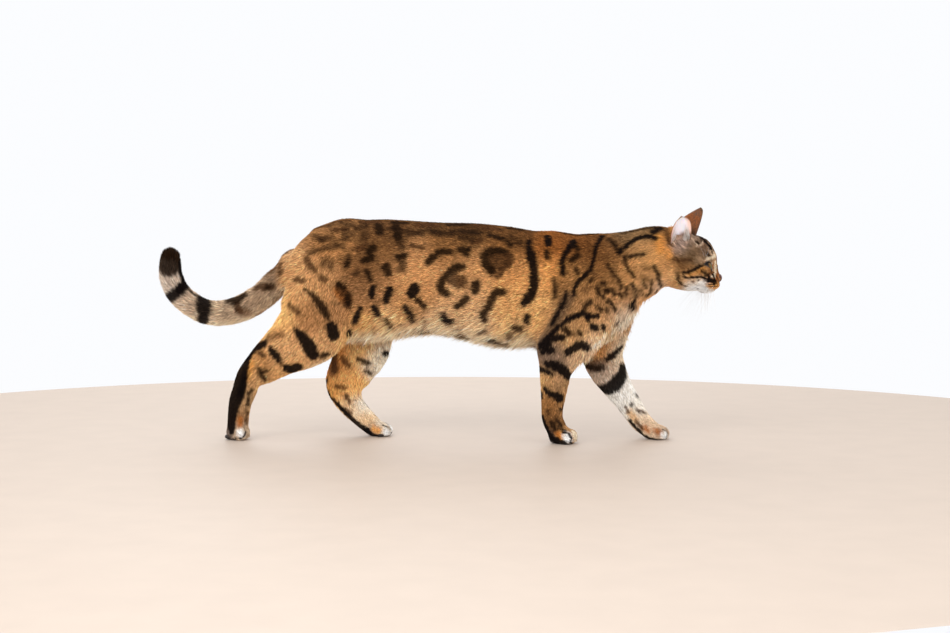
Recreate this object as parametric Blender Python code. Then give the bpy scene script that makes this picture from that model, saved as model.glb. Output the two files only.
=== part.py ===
"""A short-haired spotted cat, walking, as a life-size still model.

The cat faces +X, its left side is +Y and it stands on the floor at z = 0. All lengths are metres.
The flesh is modelled whole from lofted tubes and muscle masses, fused into one form, then parted
into its named nodes by flat cuts. The sizes are those of the outline at the tips of the coat.
"""

import math

import bmesh
import bpy
import numpy as np
from mathutils import Matrix, Vector

# ---------------------------------------------------------------- driving sizes
WITHERS = 0.2900         # height of the back over the shoulders
CROUP = 0.306            # highest point of the back, over the pelvis
BREAST = 0.128           # underside of the chest above the floor

RIGHT, LEFT = -1, 1      # sign of y on each side
CUT = 0.0003             # width of the cuts that part the flesh
FUSE_VOXEL = 0.0020      # grain of the fused form
FUSE_SMOOTHING = 12      # rounds of smoothing all over, which fillet where the masses meet
BODY_SMOOTHING = 80      # more rounds on the trunk and the tops of the limbs
BODY_TRIANGLES = 3950    # of the fused form, before it is parted
RING_POINTS = 40
STEP = 0.006             # spacing of the rings along a loft

EYE_RADIUS = 0.0105
EAR_WALL = 0.0022

COLOURS = {
    "coat": (0.55, 0.33, 0.16),
    "dark_coat": (0.05, 0.04, 0.035),
    "ear": (0.60, 0.42, 0.33),
    "eye": (0.42, 0.40, 0.12),
    "leather": (0.25, 0.09, 0.07),
}
ROUGHNESS = {"coat": 0.75, "dark_coat": 0.7, "ear": 0.7, "eye": 0.15, "leather": 0.5}
LOOKS = {
    "tail_tip": "dark_coat",
    "ear_right": "ear",
    "ear_left": "ear",
    "eye_right": "eye",
    "eye_left": "eye",
    "nose": "leather",
}


# ---------------------------------------------------------------- small helpers
def clear_scene():
    for old in list(bpy.data.objects):
        bpy.data.objects.remove(old)


def material(name, colour, roughness):
    made = bpy.data.materials.new(name)
    made.use_nodes = True
    shader = made.node_tree.nodes["Principled BSDF"]
    shader.inputs["Base Color"].default_value = (*colour, 1.0)
    shader.inputs["Roughness"].default_value = roughness
    shader.inputs["Metallic"].default_value = 0.0
    return made


def new_object(name, mesh):
    made = bpy.data.objects.new(name, mesh)
    bpy.context.scene.collection.objects.link(made)
    return made


def evaluated_mesh(obj, name):
    """The mesh of an object with its modifiers applied."""
    graph = bpy.context.evaluated_depsgraph_get()
    graph.update()
    return bpy.data.meshes.new_from_object(obj.evaluated_get(graph), depsgraph=graph)


def smooth_through(values, samples):
    """Catmull-Rom interpolation of the rows of values at samples, which count stations."""
    rows = np.asarray(values, float)
    padded = np.vstack([2 * rows[0] - rows[1], rows, 2 * rows[-1] - rows[-2]])
    index = np.clip(samples.astype(int), 0, len(rows) - 2)
    t = (samples - index)[:, None]
    before, start, end, after = (padded[index + k] for k in range(4))
    return 0.5 * (
        2 * start
        + (end - before) * t
        + (2 * before - 5 * start + 4 * end - after) * t**2
        + (3 * start - before - 3 * end + after) * t**3
    )


# ---------------------------------------------------------------- solid forms
def loft(name, stations, side=(0, 1, 0)):
    """A closed tube through stations of (x, y, z, up, down, out, squareness).

    Each ring stands square to the path: it reaches up and down by those radii in the plane that
    holds the path, and out to both sides. Squareness 2 is an ellipse, more is boxier. The ends are
    rounded over by rings that shrink as a dome does.
    """
    rows = np.asarray(stations, float)
    spans = np.linalg.norm(np.diff(rows[:, :3], axis=0), axis=1)
    counts = np.maximum(1, np.ceil(spans / STEP)).astype(int)
    samples = [i + np.arange(n) / n for i, n in enumerate(counts)] + [np.array([len(rows) - 1.0])]
    table = smooth_through(rows, np.concatenate(samples))
    path = table[:, :3]
    along = np.gradient(path, axis=0)
    along /= np.linalg.norm(along, axis=1)[:, None]
    across = np.asarray(side, float) - along * (along @ np.asarray(side, float))[:, None]
    across /= np.linalg.norm(across, axis=1)[:, None]
    upward = np.cross(across, along) * -1
    turn = np.linspace(0, 2 * math.pi, RING_POINTS, endpoint=False)

    def ring(i, share, push):
        _, _, _, up, down, out, square = table[i]
        c, s = np.cos(turn), np.sin(turn)
        power = 2 / square
        sideways = np.sign(c) * np.abs(c) ** power * out * share
        height = np.sign(s) * np.abs(s) ** power * np.where(s > 0, up, down) * share
        return path[i] + along[i] * push + sideways[:, None] * across[i] + height[:, None] * upward[i]

    domes = np.radians([75, 50, 25])
    depth_in, depth_out = (0.5 * min(table[i, 3] + table[i, 4], 2 * table[i, 5]) for i in (0, -1))
    rings = [ring(0, math.cos(a), -depth_in * math.sin(a)) for a in domes]
    rings += [ring(i, 1.0, 0.0) for i in range(len(table))]
    rings += [ring(-1, math.cos(a), depth_out * math.sin(a)) for a in domes[::-1]]

    shape = bmesh.new()
    loops = [[shape.verts.new(point) for point in points] for points in rings]
    for low, high in zip(loops, loops[1:]):
        for k in range(RING_POINTS):
            after = (k + 1) % RING_POINTS
            shape.faces.new((low[k], low[after], high[after], high[k]))
    shape.faces.new(loops[0][::-1])
    shape.faces.new(loops[-1])
    bmesh.ops.recalc_face_normals(shape, faces=shape.faces)
    mesh = bpy.data.meshes.new(name)
    shape.to_mesh(mesh)
    shape.free()
    return new_object(name, mesh)


def limb(name, stations):
    """A loft with rings of (x, y, z, fore-and-aft radius, sideways radius), for legs and tail."""
    return loft(name, [(x, y, z, fore, fore, out, 2.1) for x, y, z, fore, out in stations])


def mass(name, centre, radii, pitch=0.0, yaw=0.0, rounds=4):
    """An ellipsoid of muscle or bone. Pitch lifts its +X end, yaw turns that end to +Y, in degrees."""
    shape = bmesh.new()
    bmesh.ops.create_icosphere(shape, subdivisions=rounds, radius=1.0)
    turn = Matrix.Rotation(math.radians(yaw), 4, "Z") @ Matrix.Rotation(math.radians(-pitch), 4, "Y")
    bmesh.ops.transform(
        shape,
        matrix=Matrix.Translation(centre) @ turn @ Matrix.Diagonal((*radii, 1.0)),
        verts=shape.verts,
    )
    mesh = bpy.data.meshes.new(name)
    shape.to_mesh(mesh)
    shape.free()
    return new_object(name, mesh)


def both_sides(name, centre, radii, pitch=0.0, yaw=0.0):
    """The same mass on the right and on the left."""
    x, y, z = centre
    return [
        mass(f"{name}_{side}", (x, side * y, z), radii, pitch, side * yaw)
        for side in (RIGHT, LEFT)
    ]


# ---------------------------------------------------------------- trunk, neck and tail
def trunk_forms():
    """The barrel from rump to breast, with the shoulder blades and haunches on it."""
    rows = [
        # x, middle height, top, underside, half width
        (-0.199, 0.234, 0.267, 0.200, 0.032),
        (-0.189, 0.232, 0.2875, 0.184, 0.038),
        (-0.178, 0.231, 0.2975, 0.168, 0.043),
        (-0.150, 0.226, 0.3085, 0.142, 0.048),
        (-0.115, 0.220, CROUP, 0.134, 0.050),
        (-0.080, 0.216, CROUP, 0.137, 0.051),
        (-0.045, 0.216, 0.304, 0.143, 0.052),
        (0.000, 0.216, 0.301, 0.146, 0.055),
        (0.045, 0.212, 0.300, 0.138, 0.058),
        (0.090, 0.206, 0.295, BREAST, 0.060),
        (0.130, 0.203, 0.289, 0.129, 0.058),
        (0.170, 0.204, WITHERS, 0.124, 0.052),
        (0.205, 0.212, 0.289, 0.134, 0.045),
        (0.232, 0.222, 0.2835, 0.153, 0.038),
    ]
    stations = [(x, 0, mid, top - mid, mid - low, out, 2.2) for x, mid, top, low, out in rows]
    forms = [loft("barrel", stations)]
    forms += both_sides("shoulder_blade", (0.182, 0.029, 0.222), (0.042, 0.021, 0.060), pitch=-20)
    forms += both_sides("haunch", (-0.152, 0.027, 0.236), (0.056, 0.025, 0.056), pitch=20)
    forms += both_sides("ribs", (0.070, 0.022, 0.200), (0.075, 0.037, 0.060), pitch=4)
    return forms


def neck_forms():
    return [
        loft(
            "neck",
            [
                (0.205, 0, 0.226, 0.0605, 0.060, 0.043, 2.1),
                (0.240, 0, 0.232, 0.055, 0.058, 0.040, 2.1),
                (0.268, 0, 0.240, 0.051, 0.049, 0.037, 2.1),
                (0.294, 0, 0.250, 0.046, 0.042, 0.035, 2.1),
                (0.318, 0, 0.252, 0.040, 0.039, 0.034, 2.1),
            ],
        )
    ]


TAIL_ROUTE = [
    # x, z and radius, from inside the rump to the tip
    (-0.185, 0.249, 0.020),
    (-0.208, 0.2370, 0.0190),
    (-0.230, 0.2175, 0.0200),
    (-0.2505, 0.1985, 0.0195),
    (-0.274, 0.184, 0.0195),
    (-0.302, 0.1750, 0.0186),
    (-0.330, 0.1755, 0.0180),
    (-0.353, 0.1865, 0.0176),
    (-0.371, 0.202, 0.0174),
    (-0.381, 0.222, 0.0170),
    (-0.383, 0.240, 0.0160),
    (-0.3825, 0.252, 0.0145),
]


def tail_forms():
    return [limb("tail", [(x, 0, z, radius, radius) for x, z, radius in TAIL_ROUTE])]


# ---------------------------------------------------------------- legs
def toes(name, paw_x, y, length, width, height):
    """Four toes side by side under the front of a paw, the middle pair ahead of the outer pair."""
    forms = []
    for k, (offset, ahead) in enumerate([(-0.37, 0.11), (-0.135, 0.22), (0.135, 0.22), (0.37, 0.11)]):
        forms.append(
            mass(
                f"{name}_toe_{k}",
                (paw_x + length * ahead, y + offset * width, height * 0.42),
                (length * 0.29, width * 0.165, height * 0.50),
                pitch=-10,
            )
        )
    return forms


def leg(side, name, rows, paw_x, paw_length, paw_width, paw_height):
    """A leg from rows of (x, z, fore-and-aft radius, sideways radius, y outwards), top to foot."""
    stations = [(x, side * y, z, fore, fore, out, 2.1) for x, z, fore, out, y in rows]
    _, _, _, _, foot_y = rows[-1]
    y = side * foot_y
    forms = [loft(name, stations)]
    forms.append(
        mass(
            f"{name}_paw",
            (paw_x - paw_length * 0.06, y, paw_height * 0.50),
            (paw_length * 0.44, paw_width * 0.45, paw_height * 0.58),
        )
    )
    return forms + toes(name, paw_x, y, paw_length, paw_width, paw_height)


RIGHT_FORE = [
    (0.206, 0.196, 0.044, 0.018, 0.034),
    (0.192, 0.165, 0.042, 0.021, 0.040),
    (0.1700, 0.1310, 0.0375, 0.0205, 0.043),
    (0.1655, 0.1180, 0.0310, 0.0195, 0.043),
    (0.1611, 0.1005, 0.0228, 0.0175, 0.041),
    (0.1595, 0.0826, 0.0196, 0.0160, 0.039),
    (0.1580, 0.0660, 0.0172, 0.0148, 0.037),
    (0.1561, 0.0481, 0.0150, 0.0138, 0.034),
    (0.1565, 0.0328, 0.0145, 0.0140, 0.032),
    (0.1630, 0.0180, 0.0140, 0.0150, 0.031),
]
LEFT_FORE = [
    (0.232, 0.196, 0.042, 0.018, 0.034),
    (0.227, 0.160, 0.038, 0.021, 0.040),
    (0.2225, 0.1193, 0.0300, 0.0195, 0.043),
    (0.2307, 0.0947, 0.0262, 0.0180, 0.042),
    (0.2384, 0.0809, 0.0230, 0.0170, 0.041),
    (0.2474, 0.0670, 0.0199, 0.0158, 0.039),
    (0.2570, 0.0537, 0.0178, 0.0150, 0.037),
    (0.2673, 0.0375, 0.0160, 0.0142, 0.034),
    (0.2790, 0.0220, 0.0148, 0.0148, 0.032),
    (0.2900, 0.0140, 0.0130, 0.0150, 0.031),
]
RIGHT_HIND = [
    (-0.152, 0.240, 0.048, 0.020, 0.030),
    (-0.159, 0.200, 0.053, 0.0235, 0.034),
    (-0.1705, 0.1610, 0.0525, 0.0235, 0.038),
    (-0.1910, 0.1395, 0.0445, 0.0210, 0.040),
    (-0.2175, 0.1207, 0.0335, 0.0180, 0.040),
    (-0.2395, 0.1043, 0.0270, 0.0155, 0.038),
    (-0.2605, 0.0873, 0.0192, 0.0135, 0.036),
    (-0.2685, 0.0684, 0.0172, 0.0128, 0.034),
    (-0.2747, 0.0526, 0.0162, 0.0128, 0.033),
    (-0.2781, 0.0341, 0.0152, 0.0135, 0.031),
    (-0.2795, 0.0171, 0.0145, 0.0150, 0.030),
]
LEFT_HIND = [
    (-0.145, 0.240, 0.048, 0.020, 0.030),
    (-0.128, 0.200, 0.050, 0.0235, 0.034),
    (-0.1150, 0.160, 0.0460, 0.0235, 0.038),
    (-0.1176, 0.1220, 0.0400, 0.0205, 0.040),
    (-0.1305, 0.0961, 0.0335, 0.0175, 0.040),
    (-0.1400, 0.0750, 0.0300, 0.0150, 0.038),
    (-0.1390, 0.0580, 0.0240, 0.0140, 0.036),
    (-0.1310, 0.0430, 0.0186, 0.0132, 0.034),
    (-0.1190, 0.0300, 0.0160, 0.0132, 0.033),
    (-0.1040, 0.0170, 0.0145, 0.0145, 0.031),
]


def leg_forms():
    return (
        leg(RIGHT, "right_fore", RIGHT_FORE, 0.1705, 0.042, 0.035, 0.022)
        + leg(LEFT, "left_fore", LEFT_FORE, 0.2970, 0.040, 0.035, 0.021)
        + leg(RIGHT, "right_hind", RIGHT_HIND, -0.2790, 0.034, 0.033, 0.021)
        + leg(LEFT, "left_hind", LEFT_HIND, -0.0920, 0.042, 0.033, 0.020)
    )


# ---------------------------------------------------------------- head
NAPE = Vector((0.295, 0, 0))         # the head turns about an upright line through this point
HEAD_TURN = (
    Matrix.Translation(NAPE) @ Matrix.Rotation(math.radians(6), 4, "Z") @ Matrix.Translation(-NAPE)
)
EYE = (0.3588, 0.0170, 0.2376)
NOSE = (0.3805, 0, 0.2240)


def turned(forms):
    """Turns forms of the head a little to the cat's left, about the top of the neck."""
    for form in forms:
        form.data.transform(HEAD_TURN)
    return forms


def head_forms():
    """Skull, cheeks, muzzle and jaw of the head, carried low with the face nearly upright."""
    forms = [
        mass("skull", (0.3270, 0, 0.2530), (0.0390, 0.0335, 0.0365), pitch=-18),
        mass("forehead", (0.3525, 0, 0.2605), (0.0245, 0.0245, 0.0205), pitch=-38),
        mass("muzzle", (0.3635, 0, 0.2240), (0.0175, 0.0165, 0.0150), pitch=-30),
        mass("chin", (0.3640, 0, 0.2092), (0.0135, 0.0108, 0.0070), pitch=-4),
        mass("jaw", (0.3370, 0, 0.2210), (0.0340, 0.0190, 0.0150), pitch=-6),
        loft(
            "nose_bridge",
            [
                (0.3620, 0, 0.2590, 0.0135, 0.012, 0.0150, 2.2),
                (0.3680, 0, 0.2485, 0.0125, 0.011, 0.0115, 2.2),
                (0.3728, 0, 0.2385, 0.0088, 0.010, 0.0085, 2.2),
                (0.3768, 0, 0.2285, 0.0070, 0.008, 0.0078, 2.2),
            ],
        ),
        mass("ear_root_right", (0.3195, -0.0215, 0.2640), (0.0160, 0.0130, 0.0200), pitch=-10),
        mass("ear_root_left", (0.3240, 0.0200, 0.2800), (0.0170, 0.0125, 0.0165), pitch=10),
    ]
    forms += both_sides("cheek", (0.3340, 0.0185, 0.2350), (0.0260, 0.0200, 0.0235), pitch=-26)
    forms += both_sides("brow", (0.3620, 0.0145, 0.2560), (0.0130, 0.0100, 0.0078), pitch=-48, yaw=18)
    forms += both_sides("eye_rim", (0.3540, 0.0152, 0.2385), (0.0146, 0.0148, 0.0146))
    under_eye = (0.3560, 0.0145, 0.2260)
    forms += both_sides("under_eye", under_eye, (0.0150, 0.0135, 0.0125), pitch=-35, yaw=10)
    forms += both_sides("whisker_pad", (0.3695, 0.0098, 0.2170), (0.0132, 0.0122, 0.0094), pitch=-14)
    return turned(forms)


def eye(name, side):
    x, y, z = EYE
    shape = bmesh.new()
    bmesh.ops.create_icosphere(shape, subdivisions=3, radius=EYE_RADIUS)
    bmesh.ops.translate(shape, vec=(x, side * y, z), verts=shape.verts)
    mesh = bpy.data.meshes.new(name)
    shape.to_mesh(mesh)
    shape.free()
    return turned([new_object(name, mesh)])[0]


def nose_leather():
    """The bare tip of the nose: wide at the top, drawn in to a point below."""
    shape = bmesh.new()
    bmesh.ops.create_icosphere(shape, subdivisions=2, radius=1.0)
    for vert in shape.verts:
        vert.co.y *= 0.72 + 0.28 * vert.co.z
    radii = Matrix.Diagonal((0.0056, 0.0082, 0.0062, 1.0))
    place = Matrix.Translation(NOSE) @ Matrix.Rotation(math.radians(14), 4, "Y")
    bmesh.ops.transform(shape, matrix=place @ radii, verts=shape.verts)
    mesh = bpy.data.meshes.new("nose")
    shape.to_mesh(mesh)
    shape.free()
    return turned([new_object("nose", mesh)])[0]


# Each ear, in the turned head: base point, the way it points, the way its opening faces, length,
# half width, the power that rounds its outline, how far its tip sweeps to the side, and how wide its foot is.
EARS = {
    "ear_right": (
        (0.3244, -0.0230, 0.2600), (0.05, -0.34, 1.0), (0.42, -1.0, 0.05), 0.0470, 0.0145, 6.0, 0.003, 0.76
    ),
    "ear_left": (
        (0.3305, 0.0215, 0.2760), (0.60, 0.16, 1.0), (0.42, 0.89, -0.20), 0.0525, 0.0190, 1.3, -0.007, 1.0
    ),
}


def ear(name):
    """A cupped leaf with a rounded tip, its hollow side facing the way the opening looks."""
    base, pointing, facing, length, half_width, power, sweep, foot = EARS[name]
    up = Vector(pointing).normalized()
    front = Vector(facing)
    front = (front - up * front.dot(up)).normalized()
    across = up.cross(front)
    rows, columns = 9, 6
    shape = bmesh.new()
    grid = []
    for i in range(rows + 1):
        t = i / rows
        narrow = foot + (1 - foot) * math.sin(math.pi / 2 * min(1.0, t / 0.55))
        half = half_width * narrow * (1.0 - t**power) ** 0.7 + 0.0014
        line = []
        for k in range(columns + 1):
            u = 2 * k / columns - 1
            hollow = 0.0105 * (1 - 0.55 * t) * (1 - u * u)
            bend = across * (sweep * t * t) - front * (hollow + 0.004 * t * t)
            point = Vector(base) + up * (t * length) + across * (u * half) + bend
            line.append(shape.verts.new(point))
        grid.append(line)
    for low, high in zip(grid, grid[1:]):
        for k in range(columns):
            shape.faces.new((low[k], low[k + 1], high[k + 1], high[k]))
    mesh = bpy.data.meshes.new(name)
    shape.to_mesh(mesh)
    shape.free()
    made = new_object(name, mesh)
    solidify = made.modifiers.new("wall", "SOLIDIFY")
    solidify.thickness = EAR_WALL
    solidify.offset = 0.0
    solid = evaluated_mesh(made, name)
    made.modifiers.clear()
    made.data = solid
    return made


# ---------------------------------------------------------------- fusing and parting
def joined(name, forms):
    with_all = bmesh.new()
    for form in forms:
        with_all.from_mesh(form.data)
    made = new_object(name, bpy.data.meshes.new(name))
    with_all.to_mesh(made.data)
    with_all.free()
    for form in forms:
        bpy.data.objects.remove(form)
    return made


def fuse(forms):
    """One smooth closed mesh round all the forms, thinned to the triangles allowed."""
    whole = joined("whole_cat", forms)
    remesh = whole.modifiers.new("fuse", "REMESH")
    remesh.mode = "VOXEL"
    remesh.voxel_size = FUSE_VOXEL
    smooth = whole.modifiers.new("fillet", "SMOOTH")
    smooth.factor = 0.5
    smooth.iterations = FUSE_SMOOTHING
    fused = evaluated_mesh(whole, "fused")
    whole.modifiers.clear()
    whole.data = fused
    broad = whole.vertex_groups.new(name="broad")
    for vert in fused.vertices:
        x, _, z = vert.co
        inside = min((z - 0.115) / 0.03, (x + 0.215) / 0.03, (0.300 - x) / 0.03)
        broad.add([vert.index], min(1.0, max(0.0, inside)), "REPLACE")
    soften = whole.modifiers.new("soften", "SMOOTH")
    soften.factor = 0.5
    soften.iterations = BODY_SMOOTHING
    soften.vertex_group = "broad"
    thin = whole.modifiers.new("thin", "DECIMATE")
    thin.ratio = BODY_TRIANGLES / (2 * len(fused.polygons))
    thin.use_collapse_triangulate = True
    thinned = evaluated_mesh(whole, "thinned")
    whole.modifiers.clear()
    whole.data = thinned
    return whole


def boolean(mesh_object, cutter, operation):
    """The mesh left when a cutter is taken from an object, or when only what both share is kept."""
    cut = mesh_object.modifiers.new("cut", "BOOLEAN")
    cut.operation = operation
    cut.solver = "EXACT"
    cut.object = cutter
    result = evaluated_mesh(mesh_object, mesh_object.name)
    mesh_object.modifiers.remove(cut)
    return result


def block(point, normal, width, height, depth, grow=0.0):
    """A box with one face on a point, reaching depth along the normal, for cutting off a limb."""
    along = Vector(normal).normalized()
    across = Vector((0, 1, 0))
    upward = along.cross(across).normalized()
    middle = Vector(point) + along * (depth / 2)
    turn = Matrix((along, across, upward)).transposed().to_4x4()
    shape = bmesh.new()
    bmesh.ops.create_cube(shape, size=1.0)
    size = Matrix.Diagonal((depth + 2 * grow, width + 2 * grow, height + 2 * grow, 1.0))
    bmesh.ops.transform(shape, matrix=Matrix.Translation(middle) @ turn @ size, verts=shape.verts)
    mesh = bpy.data.meshes.new("block")
    shape.to_mesh(mesh)
    shape.free()
    return new_object("block", mesh)


def part_off(rest, name, cutter, wider_cutter):
    """Moves the part of rest inside the cutter to a new object, leaving a thin cut between."""
    piece = new_object(name, boolean(rest, cutter, "INTERSECT"))
    left = boolean(rest, wider_cutter, "DIFFERENCE")
    bpy.data.objects.remove(cutter)
    bpy.data.objects.remove(wider_cutter)
    rest.data = left
    return piece


# Where each length of the body is cut from the rest, from the ends inwards. A flat cut is given by
# a point, the direction of the piece from it, and the width, height and depth of the block.
FLAT_CUTS = [
    ("tail_tip", (-0.368, 0, 0.197), (-0.62, 0, 0.62), 0.08, 0.10, 0.14),
    ("tail_middle", (-0.288, 0, 0.178), (-1.0, 0, -0.20), 0.08, 0.12, 0.16),
    ("tail_base", (-0.216, 0, 0.232), (-0.70, 0, -0.70), 0.07, 0.086, 0.14),
    ("forepaw_right", (0.157, -0.045, 0.034), (0.10, 0, -1.0), 0.07, 0.09, 0.05),
    ("forepaw_left", (0.272, 0.045, 0.034), (0.35, 0, -1.0), 0.07, 0.11, 0.05),
    ("forearm_right", (0.170, -0.047, 0.118), (-0.06, 0, -1.0), 0.074, 0.10, 0.14),
    ("forearm_left", (0.226, 0.047, 0.112), (0.30, 0, -1.0), 0.074, 0.09, 0.14),
    ("hindpaw_right", (-0.279, -0.045, 0.028), (0.0, 0, -1.0), 0.07, 0.07, 0.05),
    ("hindpaw_left", (-0.112, 0.045, 0.026), (0.75, 0, -0.75), 0.07, 0.080, 0.08),
    ("hock_right", (-0.262, -0.045, 0.084), (-0.25, 0, -1.0), 0.07, 0.08, 0.10),
    ("hock_left", (-0.141, 0.045, 0.066), (0.15, 0, -1.0), 0.07, 0.08, 0.10),
    ("shank_right", (-0.192, -0.047, 0.137), (-1.0, 0, -0.62), 0.074, 0.11, 0.16),
    ("shank_left", (-0.117, 0.047, 0.118), (-0.12, 0, -1.0), 0.074, 0.12, 0.16),
    ("head", (0.303, 0, 0.250), (1.0, 0.05, 0.10), 0.12, 0.16, 0.14),
]
# The top of each limb is cut from the trunk by an oval dish: its middle, radii and pitch.
OVAL_CUTS = [
    ("upper_foreleg_right", (0.187, -0.070, 0.172), (0.058, 0.040, 0.085), -18),
    ("upper_foreleg_left", (0.224, 0.070, 0.166), (0.052, 0.040, 0.085), -4),
    ("thigh_right", (-0.165, -0.074, 0.196), (0.062, 0.050, 0.092), 14),
    ("thigh_left", (-0.135, 0.074, 0.190), (0.060, 0.050, 0.092), -8),
]
NECK_CUT = ("neck", (0.232, 0, 0.225), (1.0, 0, 0.10), 0.14, 0.20, 0.14)


def flat_cut(rest, row):
    name, point, normal, width, height, depth = row
    wider = block(point, normal, width, height, depth, CUT)
    return part_off(rest, name, block(point, normal, width, height, depth), wider)


def oval_cut(rest, row):
    name, centre, radii, pitch = row
    wider = mass("wider", centre, [r + CUT for r in radii], pitch, rounds=2)
    return part_off(rest, name, mass("oval", centre, radii, pitch, rounds=2), wider)


def trim(obj, around, operation="DIFFERENCE", gap=CUT):
    """Cuts an object back from its neighbour, leaving the gap between them."""
    grown = new_object("grown", around.data.copy())
    shape = bmesh.new()
    shape.from_mesh(grown.data)
    shape.normal_update()
    moves = [vert.normal * gap for vert in shape.verts]
    for vert, move in zip(shape.verts, moves):
        vert.co += move
    shape.to_mesh(grown.data)
    shape.free()
    obj.data = boolean(obj, grown, operation)
    bpy.data.objects.remove(grown)


def keep_largest(obj):
    """Drops any loose sliver that a cut left, and keeps the body with the most corners."""
    shape = bmesh.new()
    shape.from_mesh(obj.data)
    unseen = set(shape.verts)
    bodies = []
    while unseen:
        body, edge_of_body = set(), [unseen.pop()]
        while edge_of_body:
            vert = edge_of_body.pop()
            body.add(vert)
            near = {edge.other_vert(vert) for edge in vert.link_edges} & unseen
            unseen -= near
            edge_of_body.extend(near)
        bodies.append(body)
    bodies.sort(key=len)
    for body in bodies[:-1]:
        bmesh.ops.delete(shape, geom=list(body), context="VERTS")
    shape.to_mesh(obj.data)
    shape.free()


def stand_on_floor(whole):
    """Takes off all that would reach below the floor, which leaves a small flat under each paw."""
    below = block((0, 0, 0), (0, 0, -1), 0.6, 1.2, 0.1)
    whole.data = boolean(whole, below, "DIFFERENCE")
    bpy.data.objects.remove(below)


def centre(pieces):
    """Moves the cat so that its box stands centred on the origin, with the soles at z = 0."""
    corners = np.array([vert.co for piece in pieces for vert in piece.data.vertices])
    middle = (corners.min(axis=0) + corners.max(axis=0)) / 2
    for piece in pieces:
        piece.data.transform(Matrix.Translation((-middle[0], -middle[1], 0.0)))


def main():
    clear_scene()
    whole = fuse(trunk_forms() + neck_forms() + tail_forms() + leg_forms() + head_forms())
    stand_on_floor(whole)
    pieces = {row[0]: flat_cut(whole, row) for row in FLAT_CUTS}
    pieces.update({row[0]: oval_cut(whole, row) for row in OVAL_CUTS})
    pieces["neck"] = flat_cut(whole, NECK_CUT)
    whole.name = "trunk"
    pieces["trunk"] = whole

    head = pieces["head"]
    small = {"nose": nose_leather()}
    for side, word in ((RIGHT, "right"), (LEFT, "left")):
        small[f"eye_{word}"] = eye(f"eye_{word}", side)
    for piece in small.values():
        trim(head, piece)
    keep_largest(head)
    for name in EARS:
        small[name] = ear(name)
        trim(small[name], head)
    pieces.update(small)

    for name, piece in pieces.items():
        piece.name = name
        kind = LOOKS.get(name, "coat")
        piece.data.materials.clear()
        piece.data.materials.append(material(f"{name}_{kind}", COLOURS[kind], ROUGHNESS[kind]))
    centre(pieces.values())


main()
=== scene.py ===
"""The looks of a short-haired spotted cat, walking: its skin, coat, ears, eyes, nose and whiskers.

The cat faces +X, its left side is +Y and it stands on the floor at z = 0. All lengths are metres,
except in the tables of markings, which are in millimetres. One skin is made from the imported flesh,
drawn in by the depth of the coat, and the coat is laid over it in thin pointed tufts.
"""

import math

import bmesh
import bpy
import numpy as np
from mathutils.kdtree import KDTree
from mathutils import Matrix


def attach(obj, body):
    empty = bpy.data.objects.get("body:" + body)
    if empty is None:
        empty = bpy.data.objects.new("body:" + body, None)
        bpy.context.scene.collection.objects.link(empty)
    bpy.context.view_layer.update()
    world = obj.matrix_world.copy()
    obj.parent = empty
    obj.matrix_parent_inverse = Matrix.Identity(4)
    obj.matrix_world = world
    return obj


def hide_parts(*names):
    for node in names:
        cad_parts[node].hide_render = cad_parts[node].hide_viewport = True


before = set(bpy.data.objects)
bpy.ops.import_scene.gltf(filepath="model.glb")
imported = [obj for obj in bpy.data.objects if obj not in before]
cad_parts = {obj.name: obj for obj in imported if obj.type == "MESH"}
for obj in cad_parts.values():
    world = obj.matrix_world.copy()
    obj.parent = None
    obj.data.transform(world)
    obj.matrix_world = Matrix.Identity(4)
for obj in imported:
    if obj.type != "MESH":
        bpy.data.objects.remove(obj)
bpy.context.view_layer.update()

# ---------------------------------------------------------------- where things are
STATION = np.array([0.2428, -1.9905, 0.2450])   # the place the cat is looked at from
CAMERA_TURN, CAMERA_TILT = 5.4, 2.13            # degrees to the left, and down
CAMERA_LENS, FILM = 54.9, 36                    # millimetres
BOARD = 0.050                                   # the marking boards stand this far to each side
MIDDLE = 0.0006                                 # y of the plane that parts the right side from the left

NAPE = np.array([0.3016, 0.0007, 0.0])          # the head is turned to the left about this upright line
HEAD_TURN = math.radians(6)
HEAD_START = 0.300                              # x from which the head's own rules begin
EYE = (0.3654, 0.0170, 0.2376)                  # of the unturned head, as are the next two
NOSE = (0.3871, 0.0, 0.2240)
NOSE_SIZE = (0.0056, 0.0082, 0.0062)            # half its depth, width and height
EYE_RADIUS = 0.0105
RIGHT, LEFT = -1, 1
SIDES = {"right": RIGHT, "left": LEFT}
TAIL_ROOT = (-0.200, 0.0, 0.242)

GROW = 0.00025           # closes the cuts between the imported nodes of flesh
VOXEL = 0.0030
SEED = 11
FLOOR_GAP = 0.0002       # the floor lies this far below z = 0, and tufts and pads end this far above it
FAR_OFF = 0.02           # stands for "nowhere near a lid or a lip"
COLOUR_LAYER = "coat_colour"

LIMBS = [("upper_foreleg", "forearm", "forepaw"), ("thigh", "shank", "hock", "hindpaw")]
FLESH = ["trunk", "neck", "head", "eye_right", "eye_left", "nose", "tail_base", "tail_middle", "tail_tip"]
FLESH += [f"{node}_{word}" for limb in LIMBS for word in SIDES for node in limb]
OWN_PIECES = ("eye_right", "eye_left", "nose")   # fused in to shape the skin, but shown as themselves

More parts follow.
